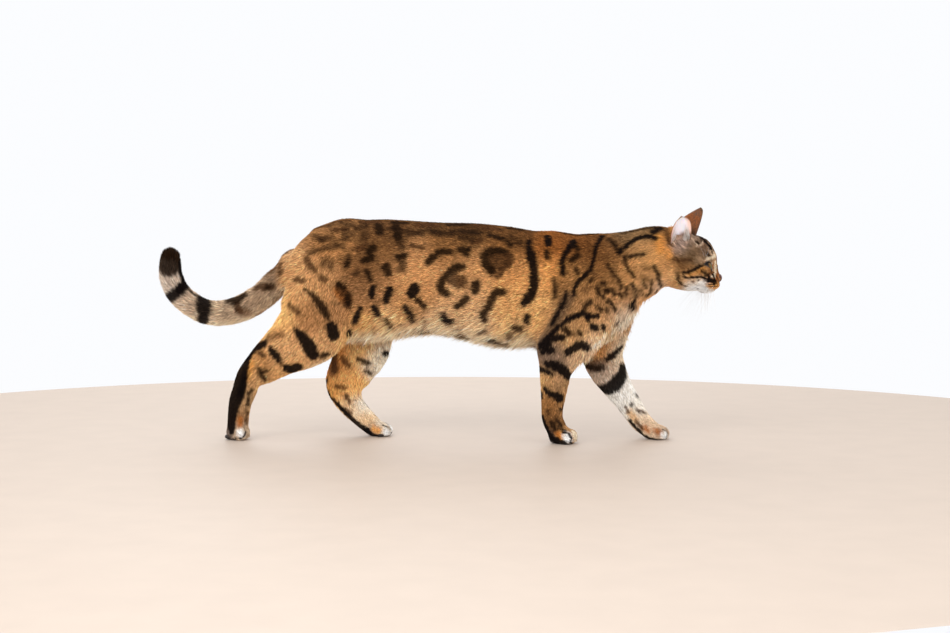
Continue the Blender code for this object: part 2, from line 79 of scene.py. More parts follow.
# ---------------------------------------------------------------- the body's lines
# Each part of the body as a chain of (x, y, z, radius), in the order that its hair lies.
CHAINS = {
    "face": [(0.392, 0.010, 0.224, 0.012), (0.372, 0.008, 0.232, 0.022), (0.350, 0.006, 0.243, 0.030),
             (0.322, 0.003, 0.250, 0.036)],
    "neck": [(0.322, 0.003, 0.250, 0.040), (0.290, 0.000, 0.246, 0.045), (0.245, 0.000, 0.232, 0.052)],
    "trunk": [(0.245, 0.000, 0.224, 0.056), (0.180, 0.000, 0.208, 0.072), (0.090, 0.000, 0.208, 0.080),
              (0.000, 0.000, 0.222, 0.074), (-0.090, 0.000, 0.224, 0.074), (-0.160, 0.000, 0.236, 0.062),
              (-0.180, 0.000, 0.238, 0.034)],
    "tail": [(-0.188, 0.000, 0.251, 0.0270), (-0.203, 0.000, 0.238, 0.0230), (-0.223, 0.000, 0.2185, 0.0215),
             (-0.244, 0.000, 0.199, 0.0205),
             (-0.267, 0.000, 0.184, 0.0200), (-0.295, 0.000, 0.1755, 0.0193), (-0.323, 0.000, 0.1765, 0.0190),
             (-0.347, 0.000, 0.187, 0.0188), (-0.365, 0.000, 0.202, 0.0182), (-0.374, 0.000, 0.222, 0.0170),
             (-0.376, 0.000, 0.240, 0.0160), (-0.376, 0.000, 0.262, 0.0145)],
    "foreleg_right": [(0.210, -0.034, 0.196, 0.036), (0.190, -0.040, 0.155, 0.036), (0.173, -0.042, 0.118, 0.026),
                      (0.166, -0.038, 0.083, 0.018), (0.163, -0.034, 0.048, 0.015)],
    "forepaw_right": [(0.163, -0.034, 0.048, 0.015), (0.166, -0.031, 0.018, 0.015), (0.196, -0.030, 0.008, 0.013)],
    "foreleg_left": [(0.236, 0.034, 0.196, 0.036), (0.231, 0.040, 0.150, 0.034), (0.237, 0.042, 0.095, 0.026),
                     (0.254, 0.039, 0.067, 0.019), (0.274, 0.034, 0.0375, 0.015)],
    "forepaw_left": [(0.274, 0.034, 0.0375, 0.015), (0.292, 0.032, 0.018, 0.014), (0.324, 0.031, 0.008, 0.013)],
    "hindleg_right": [(-0.148, -0.030, 0.230, 0.040), (-0.158, -0.035, 0.175, 0.042), (-0.182, -0.039, 0.140, 0.036),
                      (-0.232, -0.038, 0.104, 0.024), (-0.257, -0.035, 0.086, 0.018),
                      (-0.268, -0.033, 0.053, 0.016)],
    "hindpaw_right": [(-0.268, -0.033, 0.053, 0.015), (-0.274, -0.030, 0.016, 0.015), (-0.253, -0.030, 0.008, 0.013)],
    "hindleg_left": [(-0.138, 0.030, 0.230, 0.040), (-0.115, 0.036, 0.170, 0.042), (-0.111, 0.040, 0.122, 0.034),
                     (-0.133, 0.038, 0.075, 0.022), (-0.125, 0.034, 0.043, 0.017)],
    "hindpaw_left": [(-0.125, 0.034, 0.043, 0.016), (-0.097, 0.031, 0.016, 0.015), (-0.066, 0.031, 0.009, 0.013)],
}
PARTS = list(CHAINS)
LEGS = [name for name in PARTS if "leg" in name or "paw" in name]

# The coat of each part: hair length, width of a tuft, and depth over the skin, in millimetres.
HAIR = {
    "face": (3.4, 0.56, 0.9),
    "neck": (5.8, 1.02, 2.0),
    "trunk": (5.6, 1.05, 2.0),
    "tail": (7.4, 0.95, 2.8),
    "foreleg": (4.8, 0.98, 1.3),
    "forepaw": (3.0, 0.62, 0.6),
    "hindleg": (5.2, 1.04, 1.5),
    "hindpaw": (3.0, 0.62, 0.6),
}
COVER = 2.55             # layers of tufts over the skin
FRINGE = (0.93, 0.72, 0.49)                     # what the tips of the belly's tufts pale towards
UV_EDGE = 0.02

# The floor and the lamps. Each lamp: name, place, what it points at, size, and power in watts.
FLOOR_RADIUS, FLOOR_CORNERS = 1.1, 96
LAMPS = [
    ("key", (-0.8, -2.2, 1.6), (0.0, 0.0, 0.15), 1.8, 38.0),
    ("fill", (1.3, -2.2, 0.7), (0.1, 0.0, 0.15), 1.8, 22.0),
    ("rim", (-0.4, 1.8, 1.6), (0.0, 0.0, 0.2), 1.6, 16.0),
]


# ---------------------------------------------------------------- small helpers
def unit(rows):
    """Each row divided by its length."""
    return rows / np.maximum(np.linalg.norm(rows, axis=-1, keepdims=True), 1e-12)


def smoothstep(low, high, values):
    """0 below low, 1 above high, and 3 t^2 - 2 t^3 between."""
    t = np.clip((values - low) / (high - low), 0.0, 1.0)
    return t * t * (3 - 2 * t)


def ripples(points, wavelength, seed):
    """A smooth field of about unit spread: twelve sine waves near that length, each in its own direction."""
    rng = np.random.default_rng(seed)
    ways = unit(rng.normal(size=(12, 3))) * (2 * math.pi / wavelength) * rng.uniform(0.7, 1.5, (12, 1))
    return np.sin(points @ ways.T + rng.uniform(0, 2 * math.pi, 12)).sum(axis=1) / math.sqrt(6)


def turned(points, side=1):
    """Head points given for the unturned head, turned to the left by HEAD_TURN about the nape."""
    c, s = math.cos(HEAD_TURN), math.sin(HEAD_TURN)
    rel = np.asarray(points, float) * [1, side, 1] - [NAPE[0], 0, 0]
    turn = np.array([[c, -s, 0], [s, c, 0], [0, 0, 1]])
    return rel @ turn.T + NAPE


def unturned(points):
    """The opposite of turned."""
    c, s = math.cos(HEAD_TURN), math.sin(HEAD_TURN)
    turn = np.array([[c, -s, 0], [s, c, 0], [0, 0, 1]])
    return (np.asarray(points, float) - NAPE) @ turn + [NAPE[0], 0, 0]


def way_of(way, side=1):
    """A direction given for the unturned head, turned with it."""
    return turned([way], side)[0] - turned([[0, 0, 0]], side)[0]


def towards(colours, goal, share):
    """Colours moved towards one colour, each by its own share."""
    return colours + share[..., None] * (np.array(goal) - colours)


def through(rows, spacing):
    """Points along a Catmull-Rom curve through the rows, about that far apart by the first columns."""
    rows = np.asarray(rows, float)
    if len(rows) == 1:
        return rows
    padded = np.vstack([2 * rows[0] - rows[1], rows, 2 * rows[-1] - rows[-2]])
    found = []
    for k in range(len(rows) - 1):
        before, start, end, after = padded[k : k + 4]
        steps = max(1, math.ceil(np.linalg.norm((end - start)[:2]) / spacing))
        t = (np.arange(steps + (k == len(rows) - 2)) / steps)[:, None]
        found.append(0.5 * (2 * start + (end - before) * t + (2 * before - 5 * start + 4 * end - after) * t**2
                            + (3 * start - before - 3 * end + after) * t**3))
    return np.vstack(found)


def new_object(name, mesh):
    """An object of the mesh, in the scene."""
    made = bpy.data.objects.new(name, mesh)
    bpy.context.scene.collection.objects.link(made)
    return made


def mesh_from(name, points, corners, smooth=True):
    """A mesh of triangles or of quads from whole arrays."""
    mesh = bpy.data.meshes.new(name)
    sides = corners.shape[1]
    mesh.vertices.add(len(points))
    mesh.vertices.foreach_set("co", np.asarray(points, np.float32).ravel())
    mesh.loops.add(corners.size)
    mesh.loops.foreach_set("vertex_index", np.asarray(corners, np.int32).ravel())
    mesh.polygons.add(len(corners))
    mesh.polygons.foreach_set("loop_start", np.arange(len(corners), dtype=np.int32) * sides)
    mesh.polygons.foreach_set("use_smooth", np.full(len(corners), smooth))
    mesh.update(calc_edges=True)
    return mesh


def array_of(items, field, width, kind=np.float32):
    """One field of many items as an array with that many columns."""
    values = np.empty(len(items) * width, kind)
    items.foreach_get(field, values)
    return values.reshape(-1, width).astype(float if kind is np.float32 else np.int64)


def give_colours(mesh, colours):
    """Writes one linear colour per vertex."""
    layer = mesh.color_attributes.new(COLOUR_LAYER, "FLOAT_COLOR", "POINT")
    rows = np.ones((len(mesh.vertices), 4), np.float32)
    rows[:, :3] = colours
    layer.data.foreach_set("color", rows.ravel())


def dressed(name, mesh, colours, look):
    """An object of the mesh, with its colours and its material."""
    give_colours(mesh, colours)
    mesh.materials.append(look)
    return new_object(name, mesh)


def face_outwards(mesh):
    """Turns every face of a closed mesh to the outside."""
    shape = bmesh.new()
    shape.from_mesh(mesh)
    bmesh.ops.recalc_face_normals(shape, faces=shape.faces)
    shape.to_mesh(mesh)
    shape.free()


def blurred(values, edges, rounds, share=0.5):
    """Values at the vertices, moved towards the mean of their neighbours that many times."""
    values = np.array(values, float)
    flat = values.reshape(len(values), -1)
    count = np.bincount(edges.ravel(), minlength=len(flat))[:, None]
    for _ in range(rounds):
        total = np.empty_like(flat)
        for k in range(flat.shape[1]):
            total[:, k] = np.bincount(edges[:, 0], flat[edges[:, 1], k], len(flat))
            total[:, k] += np.bincount(edges[:, 1], flat[edges[:, 0], k], len(flat))
        flat = flat + share * (total / np.maximum(count, 1) - flat)
    return flat.reshape(values.shape)


# ---------------------------------------------------------------- materials
def material(name, roughness, grain, grain_size, specular, bump=0.0, coat=0.0, colour=None, subsurface=0.0):
    """The vertices' colour, or the one given, times a fine noise, with a noise bump. Sizes are in metres."""
    made = bpy.data.materials.new(name)
    made.use_nodes = True
    nodes, links = made.node_tree.nodes, made.node_tree.links
    shader = nodes["Principled BSDF"]
    shader.inputs["Roughness"].default_value = roughness
    shader.inputs["Specular IOR Level"].default_value = specular
    shader.inputs["Coat Weight"].default_value = coat
    shader.inputs["Coat Roughness"].default_value = 0.03
    if subsurface:
        shader.inputs["Subsurface Weight"].default_value = subsurface
        shader.inputs["Subsurface Radius"].default_value = (0.004, 0.002, 0.001)
        shader.inputs["Subsurface Scale"].default_value = 1.0
    place = nodes.new("ShaderNodeTexCoord")
    noise = nodes.new("ShaderNodeTexNoise")
    noise.inputs["Scale"].default_value = 1.0 / grain_size
    noise.inputs["Detail"].default_value = 3.0
    links.new(place.outputs["Object"], noise.inputs["Vector"])
    span = nodes.new("ShaderNodeMapRange")
    span.inputs["From Min"].default_value = 0.3
    span.inputs["From Max"].default_value = 0.7
    span.inputs["To Min"].default_value = 1.0 - grain
    span.inputs["To Max"].default_value = 1.0 + grain
    links.new(noise.outputs["Fac"], span.inputs["Value"])
    scaled = nodes.new("ShaderNodeVectorMath")
    scaled.operation = "SCALE"
    if colour is None:
        source = nodes.new("ShaderNodeAttribute")
        source.attribute_name = COLOUR_LAYER
        links.new(source.outputs["Color"], scaled.inputs[0])
    else:
        scaled.inputs[0].default_value = colour
    links.new(span.outputs["Result"], scaled.inputs["Scale"])
    links.new(scaled.outputs["Vector"], shader.inputs["Base Color"])
    if bump:
        relief = nodes.new("ShaderNodeBump")
        relief.inputs["Strength"].default_value = 1.0
        relief.inputs["Distance"].default_value = bump
        links.new(noise.outputs["Fac"], relief.inputs["Height"])
        links.new(relief.outputs["Normal"], shader.inputs["Normal"])
    return made


# ---------------------------------------------------------------- the skin's form
def flesh_form():
    """Copies of the flesh, merged, grown by GROW, joined, and given one surface by a voxel remesh."""
    whole = bmesh.new()
    for node in FLESH:
        part = bmesh.new()
        part.from_mesh(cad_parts[node].data)
        bmesh.ops.remove_doubles(part, verts=part.verts, dist=1e-5)
        part.normal_update()
        for vert, move in [(v, v.normal * GROW) for v in part.verts]:
            vert.co += move
        grown = bpy.data.meshes.new("grown")
        part.to_mesh(grown)
        part.free()
        whole.from_mesh(grown)
        bpy.data.meshes.remove(grown)
    mesh = bpy.data.meshes.new("flesh")
    whole.to_mesh(mesh)
    whole.free()
    made = new_object("flesh", mesh)
    remesh = made.modifiers.new("one_surface", "REMESH")
    remesh.mode = "VOXEL"
    remesh.voxel_size = VOXEL
    graph = bpy.context.evaluated_depsgraph_get()
    graph.update()
    fused = bpy.data.meshes.new_from_object(made.evaluated_get(graph), depsgraph=graph)
    bpy.data.objects.remove(made)
    return fused


def refined(mesh, inside):
    """Halves each edge whose two ends pass the test, and parts the faces between them."""
    shape = bmesh.new()
    shape.from_mesh(mesh)
    x, _, z = array_of(mesh.vertices, "co", 3).T
    chosen = inside(x, z)
    edges = [e for e in shape.edges if chosen[e.verts[0].index] and chosen[e.verts[1].index]]
    bmesh.ops.subdivide_edges(shape, edges=edges, cuts=1, use_grid_fill=True)
    bmesh.ops.triangulate(shape, faces=[f for f in shape.faces if len(f.verts) > 4])
    shape.to_mesh(mesh)
    shape.free()


def steadied(points, edges, rounds, weight):
    """Smoothing in which each round blurs by a half and sharpens by a little more, so nothing shrinks."""
    for _ in range(rounds):
        for share in (0.5, -0.52):
            points = points + (blurred(points, edges, 1, share) - points) * weight
    return points


def nearest_on_chain(points, chain):
    """For each point: its distance to the chain as a share of the radius there, the direction and the run."""
    rows = np.asarray(chain, float)
    best = np.full(len(points), np.inf)
    way = np.zeros((len(points), 3))
    run = np.zeros(len(points))
    done = 0.0
    for a, b in zip(rows, rows[1:]):
        span = b[:3] - a[:3]
        t = np.clip((points - a[:3]) @ span / (span @ span), 0, 1)
        gap = np.linalg.norm(points - a[:3] - t[:, None] * span, axis=1) / (a[3] + t * (b[3] - a[3]))
        closer = gap < best
        best = np.where(closer, gap, best)
        way[closer] = span / np.linalg.norm(span)
        run = np.where(closer, done + t * np.linalg.norm(span), run)
        done += np.linalg.norm(span)
    return best, way, run / done


class Surface:
    """A skin's vertices with their normals, the lie of their hair and its length, width and depth."""


def body_fields(skin):
    """The part each vertex belongs to, the lie of the hair, and the size of the hair there.

    The lie is the mean of the chains' directions, each weighted by one over the sixth power of the
    share of its radius at which the point lies, tipped down a little and laid on the surface.
    """
    gaps, ways = [], []
    for name in PARTS:
        gap, way, _ = nearest_on_chain(skin.points, CHAINS[name])
        gaps.append(gap)
        ways.append(way)
    gaps = np.array(gaps)
    weights = np.maximum(gaps, 0.2) ** -6.0
    weights /= weights.sum(axis=0)
    skin.part = np.array(PARTS, dtype=object)[gaps.argmin(axis=0)]
    flow = np.einsum("kn,knj->nj", weights, np.array(ways))
    flow += [0.0, 0.0, -0.22]
    size = np.array([HAIR[name.split("_")[0]] for name in PARTS]) / 1000
    length, width, depth = (weights.T @ size).T

    x, _, z = skin.points.T
    normal = skin.normals
    head = smoothstep(HEAD_START, 0.330, x)
    away = unit(skin.points - turned([[NOSE[0] + 0.006, 0.0, NOSE[2] - 0.002]]))
    flow = unit(flow) * (1 - head)[:, None] + away * head[:, None]

    belly = smoothstep(0.15, 0.75, -normal[:, 2]) * smoothstep(0.105, 0.125, z) * smoothstep(-0.13, -0.09, x)
    belly *= 1 - smoothstep(0.27, 0.30, x)
    length += 0.0035 * belly
    depth += 0.0022 * belly
    breeches = smoothstep(0.1, 0.6, -normal[:, 0]) * (x < -0.11) * smoothstep(0.12, 0.16, z) * (x > -0.26)
    lower = 1 - smoothstep(0.24, 0.27, z)
    length += 0.0025 * breeches * lower
    depth += 0.0010 * breeches * lower
    cheek = smoothstep(0.345, 0.325, x) * head
    length += 0.0022 * cheek
    depth += 0.0006 * cheek
    muzzle = smoothstep(0.358, 0.380, x)
    length *= 1 - 0.52 * muzzle
    width *= 1 - 0.42 * muzzle
    depth *= 1 - 0.45 * muzzle
    depth *= 1 - 0.7 * smoothstep(0.006, 0.001, z)

    def along(ways):
        return ways - normal * (ways * normal).sum(axis=1)[:, None]

    skin.flow = unit(along(blurred(along(flow), skin.edges, 12)))
    skin.length, skin.width, skin.depth, skin.belly = (
        blurred(values, skin.edges, 8) for values in (length, width, depth, belly)
    )


# The opening of an eye, on the ball: half length, height of the upper and lower lids, and slant.
LID = {"half": 0.0094, "upper": 0.0062, "lower": 0.0052, "slant": 0.36}
PUPIL = (7.5, 33)               # half its width and half its height, in degrees round the ball


def eye_axes(side):
    """The centre of an eye, then the way its opening faces, level with it outwards, and up it."""
    facing = unit(way_of((0.86, 0.42, 0.24), side))
    outwards = way_of((-0.45, 0.86, 0.0), side)
    outwards = unit(outwards - facing * (outwards @ facing))
    return turned([EYE], side)[0], facing, outwards, np.cross(facing, outwards) * side


def lid_edge(across):
    """Heights of the upper and lower lid at a distance across the opening: parabolas on a slanted line."""
    share = np.clip(1 - (across / LID["half"]) ** 2, 0, 1)
    middle = LID["slant"] * across
    return middle + LID["upper"] * share**0.8, middle - LID["lower"] * share**0.9


def shape_lids(points, side):
    """Draws the skin off the ball inside the opening, and lays it just over the ball as lids outside it.

    Gives the new points, and how far outside the opening each is (less than 0 inside it).
    """
    centre, facing, outwards, rise = eye_axes(side)
    rel = points - centre
    dist = np.linalg.norm(rel, axis=1)
    across = rel @ outwards / np.maximum(dist, 1e-9) * EYE_RADIUS
    up = rel @ rise / np.maximum(dist, 1e-9) * EYE_RADIUS
    upper, lower = lid_edge(across)
    over = np.maximum.reduce([up - upper, lower - up, np.abs(across) - LID["half"]])
    lid = EYE_RADIUS + 0.0005 + 0.30 * np.clip(over, 0, 0.006)
    outside = np.maximum(dist, lid)
    inside = np.minimum(dist, EYE_RADIUS - 0.0018)
    share = smoothstep(-0.0005, 0.0002, over)
    wanted = inside + (outside - inside) * share
    near = (dist < 0.0175) & (rel @ facing > 0.0)
    wanted = np.where(near, wanted, dist)
    return centre + rel * (wanted / np.maximum(dist, 1e-9))[:, None], np.where(near, over, FAR_OFF)


MOUTH = [  # of the unturned head: from under the nose, back along the lip to the corner
    (0.3872, 0.0000, 0.2168), (0.3866, 0.0004, 0.2125), (0.3850, 0.0040, 0.2108), (0.3795, 0.0090, 0.2100),
    (0.3735, 0.0125, 0.2108), (0.3675, 0.0145, 0.2128),
]


def press_line(skin, line, depth, width):
    """Sinks the skin along a line by depth, falling off as a bell of that width. Gives the distances from it."""
    spots = through(line, 0.001)
    near = np.linalg.norm(skin.points[:, None, :] - spots[None, :, :], axis=2).min(axis=1)
    skin.points -= skin.normals * (depth * np.exp(-((near / width) ** 2)))[:, None]
    return near


TOE_CLEFTS = [  # between the toes of each paw: x of the paw's front, middle y, width over the toes
    (0.1905, -0.0305, 0.035), (0.3190, 0.0320, 0.035), (-0.2600, -0.0291, 0.033), (-0.0665, 0.0288, 0.033),
]


def part_toes(skin):
    """Sinks three clefts between the four toes of each paw, deepest at the front of the paw."""
    x, y, z = skin.points.T
    for front, middle, width in TOE_CLEFTS:
        for share in (-0.25, 0.0, 0.25):
            off = y - (middle + share * width)
            reach = smoothstep(front - 0.020, front - 0.006, x) * (x < front + 0.02)
            bell = np.exp(-((off / 0.0015) ** 2)) * reach * (z < 0.028) * (np.abs(y - middle) < 0.03)
            skin.points -= skin.normals * (0.0022 * bell)[:, None]


def measure(skin, mesh):
    """Reads the skin's points, normals and edges from its mesh."""
    skin.points = array_of(mesh.vertices, "co", 3)
    skin.normals = array_of(mesh.vertex_normals, "vector", 3)
    skin.edges = array_of(mesh.edges, "vertices", 2, np.int32)


def put_back(skin, mesh):
    """Writes the skin's points to its mesh, and reads the normals again."""
    mesh.vertices.foreach_set("co", skin.points.astype(np.float32).ravel())
    mesh.update()
    skin.normals = array_of(mesh.vertex_normals, "vector", 3)


# Where the skin gets finer faces: the test, the rounds of smoothing after it, and along which axis and between
# which places that smoothing grows from none to full.
FINER = [
    (lambda x, z: (x > 0.308) & (z > 0.190), 12, 0, (0.306, 0.312)),
    (lambda x, z: (x > 0.348) & (z > 0.195), 10, 0, (0.346, 0.352)),
    (lambda x, z: z < 0.031, 6, 2, (0.034, 0.030)),
]


def make_skin():
    """The fused flesh smoothed, refined over head and paws, drawn in by the coat's depth, and given its face."""
    mesh = flesh_form()
    skin = Surface()
    measure(skin, mesh)
    x, _, z = skin.points.T
    fine = np.maximum(smoothstep(0.305, 0.335, x), smoothstep(0.050, 0.030, z))
    skin.points = steadied(skin.points, skin.edges, 24, (1 - 0.75 * fine)[:, None])
    rump = np.exp(-(((skin.points - TAIL_ROOT) ** 2).sum(axis=1) / 0.026**2))
    for _ in range(30):
        skin.points += 0.6 * rump[:, None] * (blurred(skin.points, skin.edges, 1) - skin.points)
    put_back(skin, mesh)
    for inside, rounds, axis, ends in FINER:
        refined(mesh, inside)
        measure(skin, mesh)
        skin.points = steadied(skin.points, skin.edges, rounds, smoothstep(*ends, skin.points[:, axis])[:, None])
        put_back(skin, mesh)
    for ear in EARS.values():               # the hollow at the foot of each ear's opening
        hollow = turned([np.array(ear[0]) + [0.003, 0.0, 0.010]])[0]
        near = np.exp(-(((skin.points - hollow) ** 2).sum(axis=1) / 0.011**2))
        skin.points -= skin.normals * (0.005 * near)[:, None]
    press_line(skin, turned([(0.3890, 0.0, 0.2440), (0.3890, 0.0, 0.2370)]), 0.0012, 0.006)
    put_back(skin, mesh)

    body_fields(skin)
    skin.points -= skin.normals * skin.depth[:, None]
    skin.over = np.full(len(skin.points), FAR_OFF)
    for side in (RIGHT, LEFT):
        skin.points, over = shape_lids(skin.points, side)
        skin.over = np.minimum(skin.over, over)
    put_back(skin, mesh)
    front = skin.points[:, 0] > 0.345
    skin.mouth = np.full(len(skin.points), FAR_OFF)
    face = Surface()
    for side in (RIGHT, LEFT):
        face.points, face.normals = skin.points[front], skin.normals[front]
        near = press_line(face, turned(MOUTH, side), 0.0011, 0.0009)
        skin.points[front] = face.points
        skin.mouth[front] = np.minimum(skin.mouth[front], near)
    part_toes(skin)
    put_back(skin, mesh)
    mesh.name = "skin"
    mesh.polygons.foreach_set("use_smooth", np.ones(len(mesh.polygons), bool))
    return skin, mesh


# ---------------------------------------------------------------- markings
# Colour, strength and softness of edge (in metres) of each ink.
INKS = {
    "black": ((0.006, 0.0035, 0.003), 0.98, 0.0016),
    "dark": ((0.018, 0.008, 0.003), 0.96, 0.0028),
    "brown": ((0.070, 0.028, 0.010), 0.86, 0.0026),
    "sable": ((0.030, 0.013, 0.005), 0.78, 0.0042),
    "faint": ((0.130, 0.056, 0.020), 0.70, 0.0034),
    "rust": ((0.400, 0.130, 0.025), 0.85, 0.0040),
    "orange": ((0.720, 0.330, 0.080), 0.85, 0.0050),
    "tan": ((0.640, 0.380, 0.180), 0.80, 0.0040),
    "pale": ((0.660, 0.470, 0.330), 0.80, 0.0016),
    "cream": ((0.840, 0.700, 0.520), 0.90, 0.0025),
    "white": ((0.970, 0.950, 0.920), 0.97, 0.0040),
    # shade: a dark brown laid as painted shade in the fold behind the elbow and on the far legs where the body shades
    # them; it also makes a few small dark flecks
    "shade": ((0.040, 0.026, 0.020), 0.70, 0.0050),
    "smoke": ((0.160, 0.120, 0.100), 0.75, 0.0014),
}

WIDER = (1.10, 0.4)           # the half widths as laid: the table's times the first, plus the second, in mm
WIDER_HEAD = (1.0, 0.25)
SHIFT, TAIL_SHIFT = 0.0028, 0.001               # metres that the left side's markings stray from the right's
DOT_SPACING = (0.0005, 0.0015)                  # the least and the most, along a stroke
MARGIN = 0.003                # how far beyond its edge and softness a stroke is still looked for
ORDER = [                     # in which the inks are laid
    "shade", "orange", "tan", "rust", "faint", "brown", "sable", "dark", "pale", "cream", "white", "black", "smoke",
]

